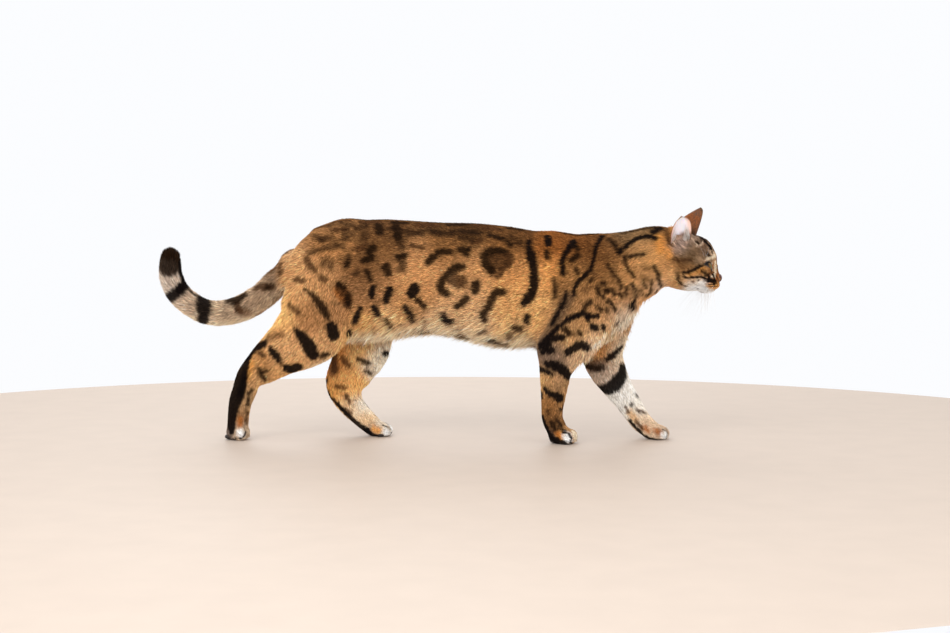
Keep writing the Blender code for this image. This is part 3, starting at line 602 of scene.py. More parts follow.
# Markings on the near side, on a board beside the cat: ink, half width, then points (x, z), all in mm.
# A half width is one number, or several spread evenly over the points.
FLANK = [
    # the saddle's mottling
    ("sable", 4, (-152, 276), (-138, 279)), ("sable", 3.5, (-122, 276), (-116, 288)),
    ("sable", 3, (-168, 257), (-150, 263), (-132, 266)), ("sable", 4, (-102, 290), (-90, 294)),
    ("dark", 5.5, (-72, 294), (-70, 286)), ("sable", 4.5, (-93, 282), (-91, 277)),
    ("dark", 5.5, (-48, 293), (-46, 279)), ("sable", 4, (-32, 283), (-18, 285), (-6, 290)),
    ("sable", 5, (2, 286), (10, 283)), ("sable", 3.5, (26, 285), (44, 286), (60, 285)),
    ("sable", 4, (40, 279), (52, 276)), ("dark", 2.6, (78, 280), (95, 276)), ("dark", 3.6, (103, 272), (107, 268)),
    ("brown", 3, (-28, 268), (-12, 264)), ("brown", 4, (-100, 263), (-92, 266)), ("brown", 3.5, (56, 272), (66, 275)),
    ("brown", 4, (-118, 290), (-134, 288)), ("brown", 4, (-20, 294), (6, 293)), ("brown", 4, (70, 290), (92, 288)),
    ("sable", 4, (-151, 294), (-137, 294)), ("sable", 3.4, (-124, 297), (-106, 294)),
    ("sable", 3, (-108, 284), (-116, 276)), ("sable", 4, (-56, 290), (-36, 287)),
    ("sable", 5, (-46, 278), (-40, 266)), ("sable", 3.4, (-28, 287), (-14, 283)), ("sable", 4, (-1, 286), (27, 283)),
    ("sable", 4, (41, 287), (64, 283)), ("sable", 4, (78, 283), (97, 277)), ("sable", 4, (106, 279), (119, 270)),
    ("sable", 3, (-160, 281), (-148, 274)), ("sable", 3, (-134, 271), (-122, 266)),
    # haunch
    ("sable", 4.5, (-114, 252), (-117, 243)), ("dark", 3, (-114, 246), (-116, 241)),
    ("dark", (4, 5.5), (-93, 247), (-83, 251)), ("dark", (4.6, 5.2), (-86, 259), (-80, 264)),
    ("dark", (6, 4.5), (-62, 238), (-59, 230)), ("dark", 3.6, (-47, 252), (-36, 255)),
    ("sable", 6, (-41, 248), (-40, 237)), ("dark", 3.4, (-89, 233), (-86, 228), (-84, 222)),
    ("sable", 3, (-105, 229), (-102, 231)), ("sable", 3, (-148, 242), (-143, 248), (-137, 243), (-138, 237)),
    ("brown", 4, (-171, 249), (-166, 240), (-160, 235)), ("brown", 4, (-150, 223), (-146, 221)),
    ("brown", 3.5, (-186, 221), (-176, 219)), ("rust", 7, (-125, 206), (-117, 196)),
    ("brown", 6, (-126, 211), (-118, 200), (-115, 190)), ("dark", 4, (-127, 215), (-121, 211)),
    ("dark", 4.2, (-114, 201), (-114, 191)), ("brown", 4, (-117, 186), (-114, 184)),
    ("dark", (1.8, 3, 5.2, 5.0, 2.5), (-174, 208), (-162, 199), (-152, 187), (-146, 178), (-141, 168)),
    ("black", (6.5, 7.5), (-137, 157), (-134, 146)), ("black", 4.6, (-114, 149), (-112, 145)),
    ("black", (2.6, 4.0, 4.2), (-97, 184), (-102, 174), (-106, 164)), ("black", 3.8, (-80, 211), (-82, 200)),
    ("black", (4.8, 3.8), (-57, 208), (-63, 193)), ("black", (4.6, 4.2), (-78, 183), (-74, 174)),
    ("dark", 3.8, (-63, 168), (-57, 159)), ("black", (6.6, 6.4), (-23, 210), (-27, 203)),
    ("dark", 3.8, (-19, 194), (-11, 186)), ("black", (4, 5.2, 3.6), (-36, 184), (-31, 176), (-27, 167)),
    ("brown", 1.8, (-11, 171), (-12, 157)), ("faint", 2, (-81, 160), (-80, 150)),
    ("brown", (3.2, 3.6), (-195, 186), (-183, 176)),
    ("black", (3.5, 6.5, 8.6, 7.2), (-185, 151), (-176, 141), (-168, 130), (-163, 119)),
    ("dark", 3.8, (-150, 118), (-143, 120)), ("faint", 5, (-222, 143), (-206, 147)),
    # side of the barrel
    ("dark", (5.0, 5.0, 4.0, 3.6), (-5, 246), (2, 252), (12, 259), (26, 259)),
    ("dark", (3.6, 3.6), (38, 262), (50, 262)), ("dark", 2.8, (44, 259), (48, 255)),
    ("brown", 12, (86, 247), (93, 246)),
    ("dark", (3.6, 5, 5.4, 5.6, 5), (98, 260), (84, 261), (73, 256), (72, 244), (80, 234)),
    ("brown", 4.6, (102, 257), (106, 249), (104, 243)), ("brown", (5, 4), (82, 233), (90, 228), (95, 236)),
    ("brown", 8, (30, 222), (36, 219)), ("tan", 4, (26, 228), (29, 213)),
    ("dark", (4.6, 5.4, 4, 5, 5, 4.4), (41, 239), (31, 237), (20, 228), (13, 217), (13, 208), (20, 203)),
    ("faint", 4, (46, 214), (44, 225)), ("dark", 5.6, (60, 216), (59, 208)),
    ("dark", 4.2, (34, 186), (41, 191), (47, 197)), ("black", (4.8, 5.2, 3.8), (15, 175), (18, 168), (26, 168)),
    ("dark", (4.2, 5, 4.6, 4.6, 5, 5.2), (97, 205), (88, 205), (82, 197), (77, 186), (70, 177), (70, 169)),
    ("black", (3, 4.2, 6.6, 5.2, 5.2, 5.6, 6, 4), (131, 274), (131, 264), (134, 252), (137, 238), (138, 223),
     (137, 209), (131, 198), (124, 190)),
    ("black", (4.2, 5), (156, 279), (157, 270)), ("dark", 3.4, (155, 259), (155, 252)),
    ("dark", (1, 2.4, 2.8), (163, 225), (166, 213), (165, 199)), ("dark", 4.6, (111, 158), (118, 157)),
    ("black", (4.4, 4), (129, 172), (127, 166)), ("dark", 4.4, (104, 150), (102, 146)),
    ("dark", 2.8, (62, 153), (72, 154)), ("black", (4.6, 3.6), (77, 143), (84, 143)),
    ("brown", 3.2, (37, 155), (44, 148)),
    # shoulder
    ("black", (4.4, 3.8, 3.4, 3.6, 3.6, 3.6), (191, 272), (185, 264), (179, 255), (176, 247), (176, 238), (177, 230)),
    ("dark", 3.2, (193, 268), (196, 263)), ("dark", 4, (196, 254), (188, 248)), ("dark", 2.6, (194, 235), (196, 231)),
    ("black", (3.6, 2.6, 2.4, 2.4, 2.6, 2.6, 2.6, 2.4, 2.2), (229, 279), (222, 268), (219, 257), (217, 246),
     (213, 236), (206, 227), (198, 220), (193, 211), (192, 201)),
    ("dark", (3, 3.2, 3), (238, 275), (246, 267), (250, 258)),
    ("black", (2.4, 2.8, 3, 3, 3.4), (252, 257), (262, 268), (275, 276), (288, 279), (299, 277)),
    ("black", 4.4, (297, 285), (306, 290)),
    ("dark", (1.6, 2.2, 2.2, 2.2), (235, 241), (243, 231), (250, 222), (254, 211)),
    ("dark", 2.2, (258, 250), (262, 238), (268, 230), (272, 226)), ("dark", 2.4, (259, 251), (272, 254), (284, 256)),
    ("black", (2, 2.6, 2.8, 2.4), (268, 216), (272, 207), (271, 196), (268, 188)),
    ("black", 4.2, (267, 186), (269, 184)), ("dark", 1.8, (283, 221), (286, 212)),
    ("dark", 2, (294, 220), (293, 207), (288, 201)), ("dark", 2.6, (297, 239), (302, 231)),
    ("dark", 2.4, (303, 230), (304, 221), (307, 213)), ("dark", 1.8, (299, 205), (302, 209)),
    ("faint", 2.4, (284, 238), (291, 236)), ("faint", 2.4, (284, 226), (290, 222)),
    ("dark", 1.7, (279, 208), (282, 202)), ("dark", 3, (229, 216), (231, 217)), ("dark", 2.8, (213, 220), (215, 222)),
    ("faint", 3, (211, 210), (213, 210)), ("dark", 3.4, (234, 206), (236, 207)),
    ("dark", 2.6, (223, 210), (225, 203), (230, 199)), ("dark", 2.6, (243, 208), (246, 202)),
    ("dark", 3, (240, 191), (241, 189)), ("dark", 2.8, (224, 184), (228, 181)), ("dark", 3, (245, 184), (246, 182)),
    ("dark", 2.4, (235, 182), (236, 180)), ("dark", 2.2, (235, 192), (237, 193)),
    ("faint", 2.6, (205, 208), (207, 204)), ("dark", 2.6, (252, 203), (254, 200)),
    ("dark", 1.9, (262, 213), (259, 200)), ("faint", 2.4, (218, 229), (222, 226)),
    ("dark", (3, 2.8, 2.6), (214, 192), (208, 187), (206, 180)),
    ("black", 3.2, (184, 169), (194, 173), (203, 176), (213, 173), (223, 173)),
    ("black", 2.6, (210, 171), (211, 168)), ("black", 4.6, (218, 159), (221, 157)),
    ("black", 3.4, (230, 159), (232, 155)), ("dark", 4, (180, 155), (185, 150)),
    ("dark", 2.8, (198, 151), (201, 149)), ("faint", 2.4, (189, 149), (191, 147)),
    ("dark", 2.2, (241, 156), (247, 164)),
    # the fold behind the elbow: painted shade over the fold, dark lines along its creases, then the elbow's stripes
    # and mottles
    ("shade", 8, (184, 196), (176, 182), (168, 168), (160, 152), (152, 138)),
    ("black", (1.6, 2.4, 2.6, 2.6, 2.6), (181, 206), (179, 193), (173, 182), (168, 172), (163, 162)),
    ("black", (2, 2.6, 2.6, 2.6, 2.6), (196, 172), (182, 166), (172, 157), (163, 149), (153, 140)),
    ("dark", 2, (170, 160), (160, 147), (150, 135)), ("black", (3.6, 4.4, 3.6), (158, 141), (168, 143), (177, 144)),
    ("black", 4.6, (147, 132), (157, 134)), ("black", 4, (151, 125), (163, 127)),
    ("black", (4.2, 4.6, 5.4, 5), (183, 124), (191, 129), (200, 134), (209, 131)),
]
# The pale edge of the breast, which only the near side has.
BREAST = [
    ("cream", (1.6, 2.2, 2.6, 2.2), (279, 181), (262, 169), (247, 158), (230, 143), (216, 131)),
]
NEAR_FORELEG = [
    ("black", (4.2, 6.4, 6, 5.4, 4.6), (156, 109), (167, 106), (177, 101), (183, 94), (190, 90)),
    ("black", (4, 3.6, 2.6), (145, 102), (154, 99), (163, 95)),
    ("black", (3, 3.6, 5, 5.4), (154, 75), (161, 68), (170, 65), (174, 62)), ("black", 3.2, (149, 69), (150, 64)),
    ("black", 2.8, (180, 52), (175, 48)), ("brown", 2.2, (158, 46), (158, 42)), ("dark", 2, (170, 33), (176, 26)),
    ("dark", 2.4, (176, 22), (181, 19)), ("rust", 2.6, (171, 16), (173, 11)), ("dark", 2.6, (163, 30), (168, 21)),
    # black down the back of the paw and along its sole: the paw's own black, widened along the bottom as painted
    # contact shadow
    ("black", (4, 6.6, 7.6, 7.2, 5.2, 3.4), (151, 37), (153, 25), (157, 13), (165, 6), (176, 3), (188, 2)),
    # on the toes: the white and cream patches are painted highlight on their rounded tops, and the thin black line
    # below is painted shade in the clefts between them
    ("orange", 4, (174, 14), (177, 11)), ("white", 5.2, (184, 11), (185, 7)), ("cream", 4.6, (193, 15), (195, 9)),
    ("black", 1.1, (178, 17), (185, 15.5), (189, 10), (187, 3)),
]
FAR_FORELEG = [
    ("shade", 7, (206, 118), (216, 110), (228, 108)), ("dark", (4, 5, 4), (205, 110), (216, 104), (228, 103)),
    ("black", (3.6, 4, 2.8), (238, 116), (246, 122), (255, 132)),
    ("black", (6, 7.6, 8.4, 8.6, 7.4, 4.4), (258, 104), (257, 95), (252, 87), (246, 80), (236, 75), (227, 77)),
    ("dark", 2.2, (276, 67), (279, 65)), ("dark", 1.7, (270, 55), (271, 54)), ("shade", 1.4, (253, 48), (254, 47)),
    ("brown", 2, (277, 48), (280, 46)), ("brown", 1.6, (284, 46), (287, 44)), ("tan", 4.4, (268, 44), (274, 34)),
    ("brown", 2.4, (276, 32), (283, 24)), ("rust", 3.2, (286, 24), (291, 21)), ("brown", 1.4, (262, 52), (266, 45)),
    # black along the bottom of the paw: its dark sole, widened as painted contact shadow
    ("black", (2.4, 3.4, 3.6, 3.2, 2.6), (268, 33), (277, 23), (286, 14), (301, 8), (316, 6)),
    # the white on the toes is painted highlight, and the thin black line below is painted shade in the clefts between
    # them
    ("rust", 3.4, (303, 21), (307, 18)), ("white", 4, (313, 15), (314, 12)),
    ("black", 1.0, (311, 22), (316, 18), (314, 12)),
]
NEAR_HINDLEG = [
    ("black", (4.4, 6, 6.4), (-229, 134), (-242, 127), (-252, 116)),
    ("black", (6, 8, 10, 10.5, 10, 9, 7.5, 4.5), (-253, 114), (-259, 100), (-264, 85), (-268, 70), (-273, 55),
     (-277, 40), (-278, 26), (-276, 14)),
    ("dark", 4, (-257, 92), (-260, 78), (-264, 62)),
    ("black", (4.2, 5.2, 3.4), (-221, 126), (-215, 118), (-210, 112)), ("brown", 3, (-209, 108), (-203, 104)),
    ("black", (5, 6.8, 6.0), (-199, 101), (-192, 99), (-184, 103)), ("dark", 3.0, (-237, 98), (-235, 91), (-230, 85)),
    ("dark", 2.4, (-234, 94), (-228, 97)), ("brown", 3.4, (-236, 121), (-231, 117)),
    ("orange", 3.4, (-248, 106), (-252, 96), (-255, 86)), ("dark", 2.2, (-252, 66), (-248, 70)),
    ("dark", 2.2, (-253, 58), (-254, 50)), ("brown", 2, (-256, 42), (-254, 38)),
    ("rust", 3.0, (-264, 30), (-264, 22)), ("brown", 2.4, (-256, 30), (-256, 24)),
    # the white on the toes is painted highlight, and the thin black line after it is painted shade in the toes'
    # clefts
    ("white", 3.6, (-264, 12), (-262, 9)), ("black", 1.1, (-258, 19), (-257, 12), (-262, 5), (-270, 4)),
]
FAR_HINDLEG = [
    ("black", (3.4, 3.4, 3), (-149, 84), (-145, 72), (-138, 62)),
    ("black", (2.6, 3.2, 4.2, 6, 6), (-138, 62), (-126, 50), (-112, 35), (-99, 23), (-87, 15)),
    # black along the bottom of the paw: its dark sole with painted contact shadow; then painted shade at the back of
    # the thigh
    ("black", (4.4, 4.0, 3.0), (-88, 16), (-76, 9), (-62, 6)), ("shade", 6, (-138, 122), (-136, 108), (-136, 95)),
    ("brown", 5, (-132, 118), (-132, 98)), ("brown", 3.2, (-122, 114), (-114, 105)),
    ("dark", (2.6, 3.6), (-100, 114), (-87, 108)), ("dark", 2.6, (-89, 98), (-82, 94)),
    ("black", 4.2, (-64, 121), (-61, 121)), ("brown", 2.8, (-131, 76), (-119, 74)),
    ("brown", 3.2, (-117, 63), (-113, 56)), ("brown", 3.6, (-122, 46), (-111, 40)),
    # the white at this line's end is painted highlight on the toes, and the thin black line below is painted shade in
    # their clefts
    ("rust", 4, (-108, 138), (-90, 138)), ("orange", 4.4, (-78, 18), (-72, 16)), ("white", 4, (-62, 15), (-60, 13)),
    ("black", 1.1, (-66, 24), (-58, 20), (-55, 13), (-60, 8)),
]
TAIL = [
    ("dark", (15, 16), (-362, 268), (-362, 244)),
    ("black", (4, 5, 6, 7), (-348, 246), (-346, 229), (-342, 217), (-347, 209)),
    ("black", (6.5, 7.5, 7, 5.5), (-341, 215), (-350, 207), (-360, 199), (-367, 192)),
    ("black", (8.5, 10, 8, 6.5), (-317, 195), (-315, 187), (-315, 176), (-317, 165)),
    ("dark", (6, 6.5, 5), (-279, 192), (-268, 193), (-258, 199)), ("brown", 5, (-268, 187), (-266, 180)),
    ("brown", (5, 5.5, 4.5), (-240, 209), (-229, 211), (-220, 211)), ("dark", 2.6, (-227, 211), (-222, 211)),
    ("brown", 4, (-206, 230), (-200, 238)), ("faint", 5, (-264, 178), (-254, 176)),
    ("faint", 5, (-220, 232), (-212, 240)),
    ("black", (1.2, 1.6, 1.8, 1.8, 1.6, 1.4), (-189, 267), (-202, 253), (-216, 241), (-230, 227), (-246, 215),
     (-266, 204)),
    ("black", (1.4, 1.6, 2.0, 2.0, 2.2, 2.4), (-266, 204), (-288, 195), (-308, 194), (-325, 199), (-339, 211),
     (-346, 228)),
]
HEAD = [
    ("orange", 5.6, (304, 278), (306, 262)), ("brown", 3.0, (314, 292), (314, 282), (318, 270)),
    ("orange", 2.4, (317, 262), (317, 252)), ("brown", 2.6, (324, 250), (334, 248), (346, 249)),
    ("faint", 3, (330, 243), (337, 237)), ("pale", 0.8, (346, 279), (349, 273), (354, 269)),
    ("pale", 0.9, (354, 267), (359, 268), (362, 273)), ("dark", 3.0, (353, 272), (357, 270)),
    ("black", (3.2, 3.6, 3.4, 3.0, 2.2), (350, 291), (356, 282), (362, 276), (368, 270), (374, 263)),
    ("dark", 1.9, (368, 257), (372.5, 252.5)),
    ("pale", (1.1, 1.4, 1.4, 1.1, 0.8), (378, 262), (377, 256), (374, 251), (370, 249), (365, 247.5)),
    ("brown", 0.9, (380, 251), (380.5, 243), (382, 236)),
    ("black", (1.3, 1.7, 2.3, 2.4, 1.8), (367, 242.5), (358, 240), (350, 236), (343, 233), (336, 231.5)),
    ("cream", (1.1, 1.3, 1.2, 0.9), (374.5, 246), (375.5, 240), (377.2, 234), (378.6, 229)),
    ("black", (1.5, 1.9, 2.0, 1.8), (371.5, 242), (374, 236), (376, 230), (377, 225)),
    ("dark", (2.0, 2.6, 2.8), (361, 234), (366, 230), (371, 226)),
    ("black", (1.5, 1.5, 1.6, 1.6, 2.0), (336, 226), (345, 225.5), (355, 226), (362, 225.5), (369, 222.5)),
    ("orange", 2.0, (344, 229), (354, 231), (362, 238)),
    ("dark", (2.2, 2.6, 2.4, 1.4), (329, 231), (330, 224), (334, 218), (340, 214.5)),
    ("brown", 1.6, (333, 207.5), (338, 207.5)), ("brown", 1.3, (347, 220.3), (349.5, 220)),
    ("dark", 1.2, (356, 222), (357, 221.6)), ("black", 3.4, (370, 221.5), (377, 220.5)),
    ("rust", 2.6, (380, 231), (380.5, 223)), ("orange", 4, (371, 214), (380, 214)),
    ("dark", 0.75, (370, 216), (381, 217)), ("dark", 0.75, (370, 213.3), (381, 213.6)),
    ("cream", 1.2, (369, 209.6), (382, 209.6)), ("white", (5, 6, 5), (346, 210), (356, 211), (364, 211)),
    ("white", 3, (364, 205), (372, 205.5)), ("shade", 1.3, (329, 271), (331, 268)), ("shade", 1.1, (337, 273)),
    ("shade", 1.2, (343, 269), (345, 267)), ("shade", 1.0, (335, 264)), ("shade", 1.0, (341, 262)),
    ("smoke", 0.7, (354, 212), (358, 208), (363, 205), (368, 203.8)),
]
# Seen from above, along the back: ink, half width, then points (x, y).
BACK = [
    ("black", (2, 3, 3.4, 3, 2), (240, 0), (270, 1), (295, 1), (312, 3), (330, 4)),
    ("dark", (2, 2.6, 2.4), (256, 9), (282, 11), (306, 12)), ("dark", (2, 2.6, 2.4), (256, -9), (282, -9), (304, -9)),
    ("black", (2.6, 4.4, 4.8, 4.6, 4.2, 4.2, 3.6, 2.8), (140, 0), (112, 0), (70, 1), (20, 0), (-40, 1), (-90, 0),
     (-140, 1), (-190, 0)),
    ("dark", 3.6, (126, 12), (108, 14)), ("dark", 3.6, (120, -12), (100, -14)), ("brown", 4.6, (88, 13), (64, 15)),
    ("brown", 4.6, (82, -14), (56, -15)), ("dark", 4, (44, 15), (22, 16)), ("dark", 4, (40, -14), (18, -15)),
    ("brown", 5, (4, 14), (-18, 15)), ("brown", 5, (0, -14), (-22, -14)), ("dark", 4.4, (-42, 15), (-60, 15)),
    ("dark", 4.4, (-40, -15), (-58, -15)), ("brown", 5, (-82, 14), (-104, 14)), ("brown", 5, (-78, -14), (-100, -14)),
    ("brown", 4.4, (-124, 13), (-144, 12)), ("brown", 4.4, (-120, -13), (-142, -12)),
    ("brown", 3.6, (-164, 9), (-180, 8)), ("brown", 3.6, (-162, -9), (-178, -8)),
    ("dark", 3, (222, 6), (200, 8), (176, 7)), ("dark", 3, (218, -6), (196, -8), (172, -7)),
    ("brown", 3.4, (232, 0), (214, 0)),
]
# Seen from below, on the belly.
BELLY = [
    ("dark", 4.6, (118, 16), (108, 18)), ("dark", 4.6, (96, -20), (86, -22)), ("dark", 4.4, (66, 20), (58, 18)),
    ("dark", 4.6, (40, -17), (30, -18)), ("dark", 4.2, (14, 17), (6, 18)), ("dark", 4.4, (-14, -16), (-22, -16)),
    ("dark", 4.2, (-44, 15), (-52, 14)), ("brown", 4, (76, 2), (68, 0)), ("brown", 4, (20, 1), (12, -2)),
    ("brown", 4, (-34, -1), (-42, 1)), ("brown", 3.6, (146, 8), (138, 8)), ("brown", 3.6, (140, -12), (132, -12)),
]
# Seen from the front of the unturned head: points (y, z), for one half of the face.
BROW = [
    ("black", (1.8, 1.8, 1.6), (8, 284), (7, 272), (9, 262)),
    ("black", (1.4, 1.6, 1.4), (16, 276), (14, 266), (17, 258)),
    ("black", (1.0, 1.3, 1.0), (2.5, 282), (2.5, 270), (3, 262)), ("cream", 2.2, (10, 254), (17, 253), (23, 250)),
    ("cream", 1.8, (8, 246), (7.5, 238), (8.5, 231)), ("cream", 2.0, (14, 226), (20, 227)),
    ("rust", 3.0, (0, 250), (0, 238)), ("cream", 2.2, (0, 206.5), (7, 206.5)),
    ("dark", 0.6, (0, 217), (0, 213.5), (4, 211), (8, 211.5)), ("brown", 1.4, (4.5, 252), (4, 240), (5.5, 231)),
    ("dark", 1.2, (11, 232), (9.5, 226), (9, 221)),
]
# The outer side of the left legs and the inner side of the right legs, seen from the left.
LEFT_LEGS_OUT = [
    ("black", (4, 5.6, 5), (228, 124), (240, 116), (254, 112)),
    ("black", (5, 7, 7.4, 6, 4), (262, 98), (256, 90), (248, 82), (238, 78), (230, 80)),
    ("black", (3, 4, 3), (250, 66), (258, 60), (268, 60)), ("dark", 3, (262, 46), (268, 42)),
    ("dark", 2.4, (276, 34), (280, 30)), ("black", (2.4, 3.6, 4, 3), (268, 33), (277, 22), (287, 14), (301, 9)),
    # the white on the toes is painted highlight, and the thin black line below is painted shade in their clefts
    ("tan", 5, (292, 24), (302, 20)), ("white", 4.6, (314, 16), (316, 10)),
    ("black", 1.1, (308, 19), (314, 17), (317, 11)), ("brown", 2.4, (284, 44), (288, 40)),
    ("black", 3.4, (236, 102), (232, 96)), ("black", (4.6, 5, 4.4), (-150, 150), (-140, 140), (-132, 130)),
    ("black", (5, 5.6, 4.4), (-112, 140), (-104, 128), (-98, 118)), ("dark", 4.4, (-128, 116), (-118, 110)),
    ("black", 4, (-98, 100), (-106, 94)), ("black", (3.6, 4.4, 3.6), (-148, 96), (-138, 88), (-126, 86)),
    ("black", (3.6, 5, 5.4, 5.4, 5, 4), (-150, 84), (-146, 70), (-136, 56), (-122, 42), (-108, 28), (-92, 16)),
    ("dark", 2.6, (-122, 64), (-114, 58)), ("dark", 2.2, (-104, 46), (-98, 40)), ("tan", 4, (-88, 24), (-80, 18)),
    # the white on the toes is painted highlight, and the thin black line after it is painted shade in their clefts
    ("white", 4.4, (-66, 15), (-62, 10)), ("black", 1.1, (-72, 20), (-64, 18), (-60, 11)),
]
RIGHT_LEGS_IN = [
    ("black", (4, 5, 4), (160, 106), (170, 103), (180, 102)),
    ("black", (3.6, 4.4, 3.6), (152, 78), (162, 74), (172, 74)), ("dark", 2.4, (156, 52), (162, 48)),
    # the white on the toes is painted highlight, and the thin black line below is painted shade in their clefts
    ("black", (3, 4, 4.4, 3.4), (152, 36), (155, 24), (160, 11), (172, 4)), ("white", 4.6, (186, 12), (190, 7)),
    ("black", 1.1, (180, 15), (186, 13), (189, 7)), ("dark", 4, (-196, 122), (-188, 116)),
    ("dark", 3.4, (-222, 110), (-214, 104)),
    ("black", (4, 5.4, 6, 6, 5.6, 4), (-258, 100), (-266, 84), (-272, 64), (-277, 44), (-279, 28), (-276, 14)),
    # the white on the toes is painted highlight
    ("white", 4, (-262, 12), (-258, 9)), ("dark", 2, (-252, 60), (-250, 54)),
]

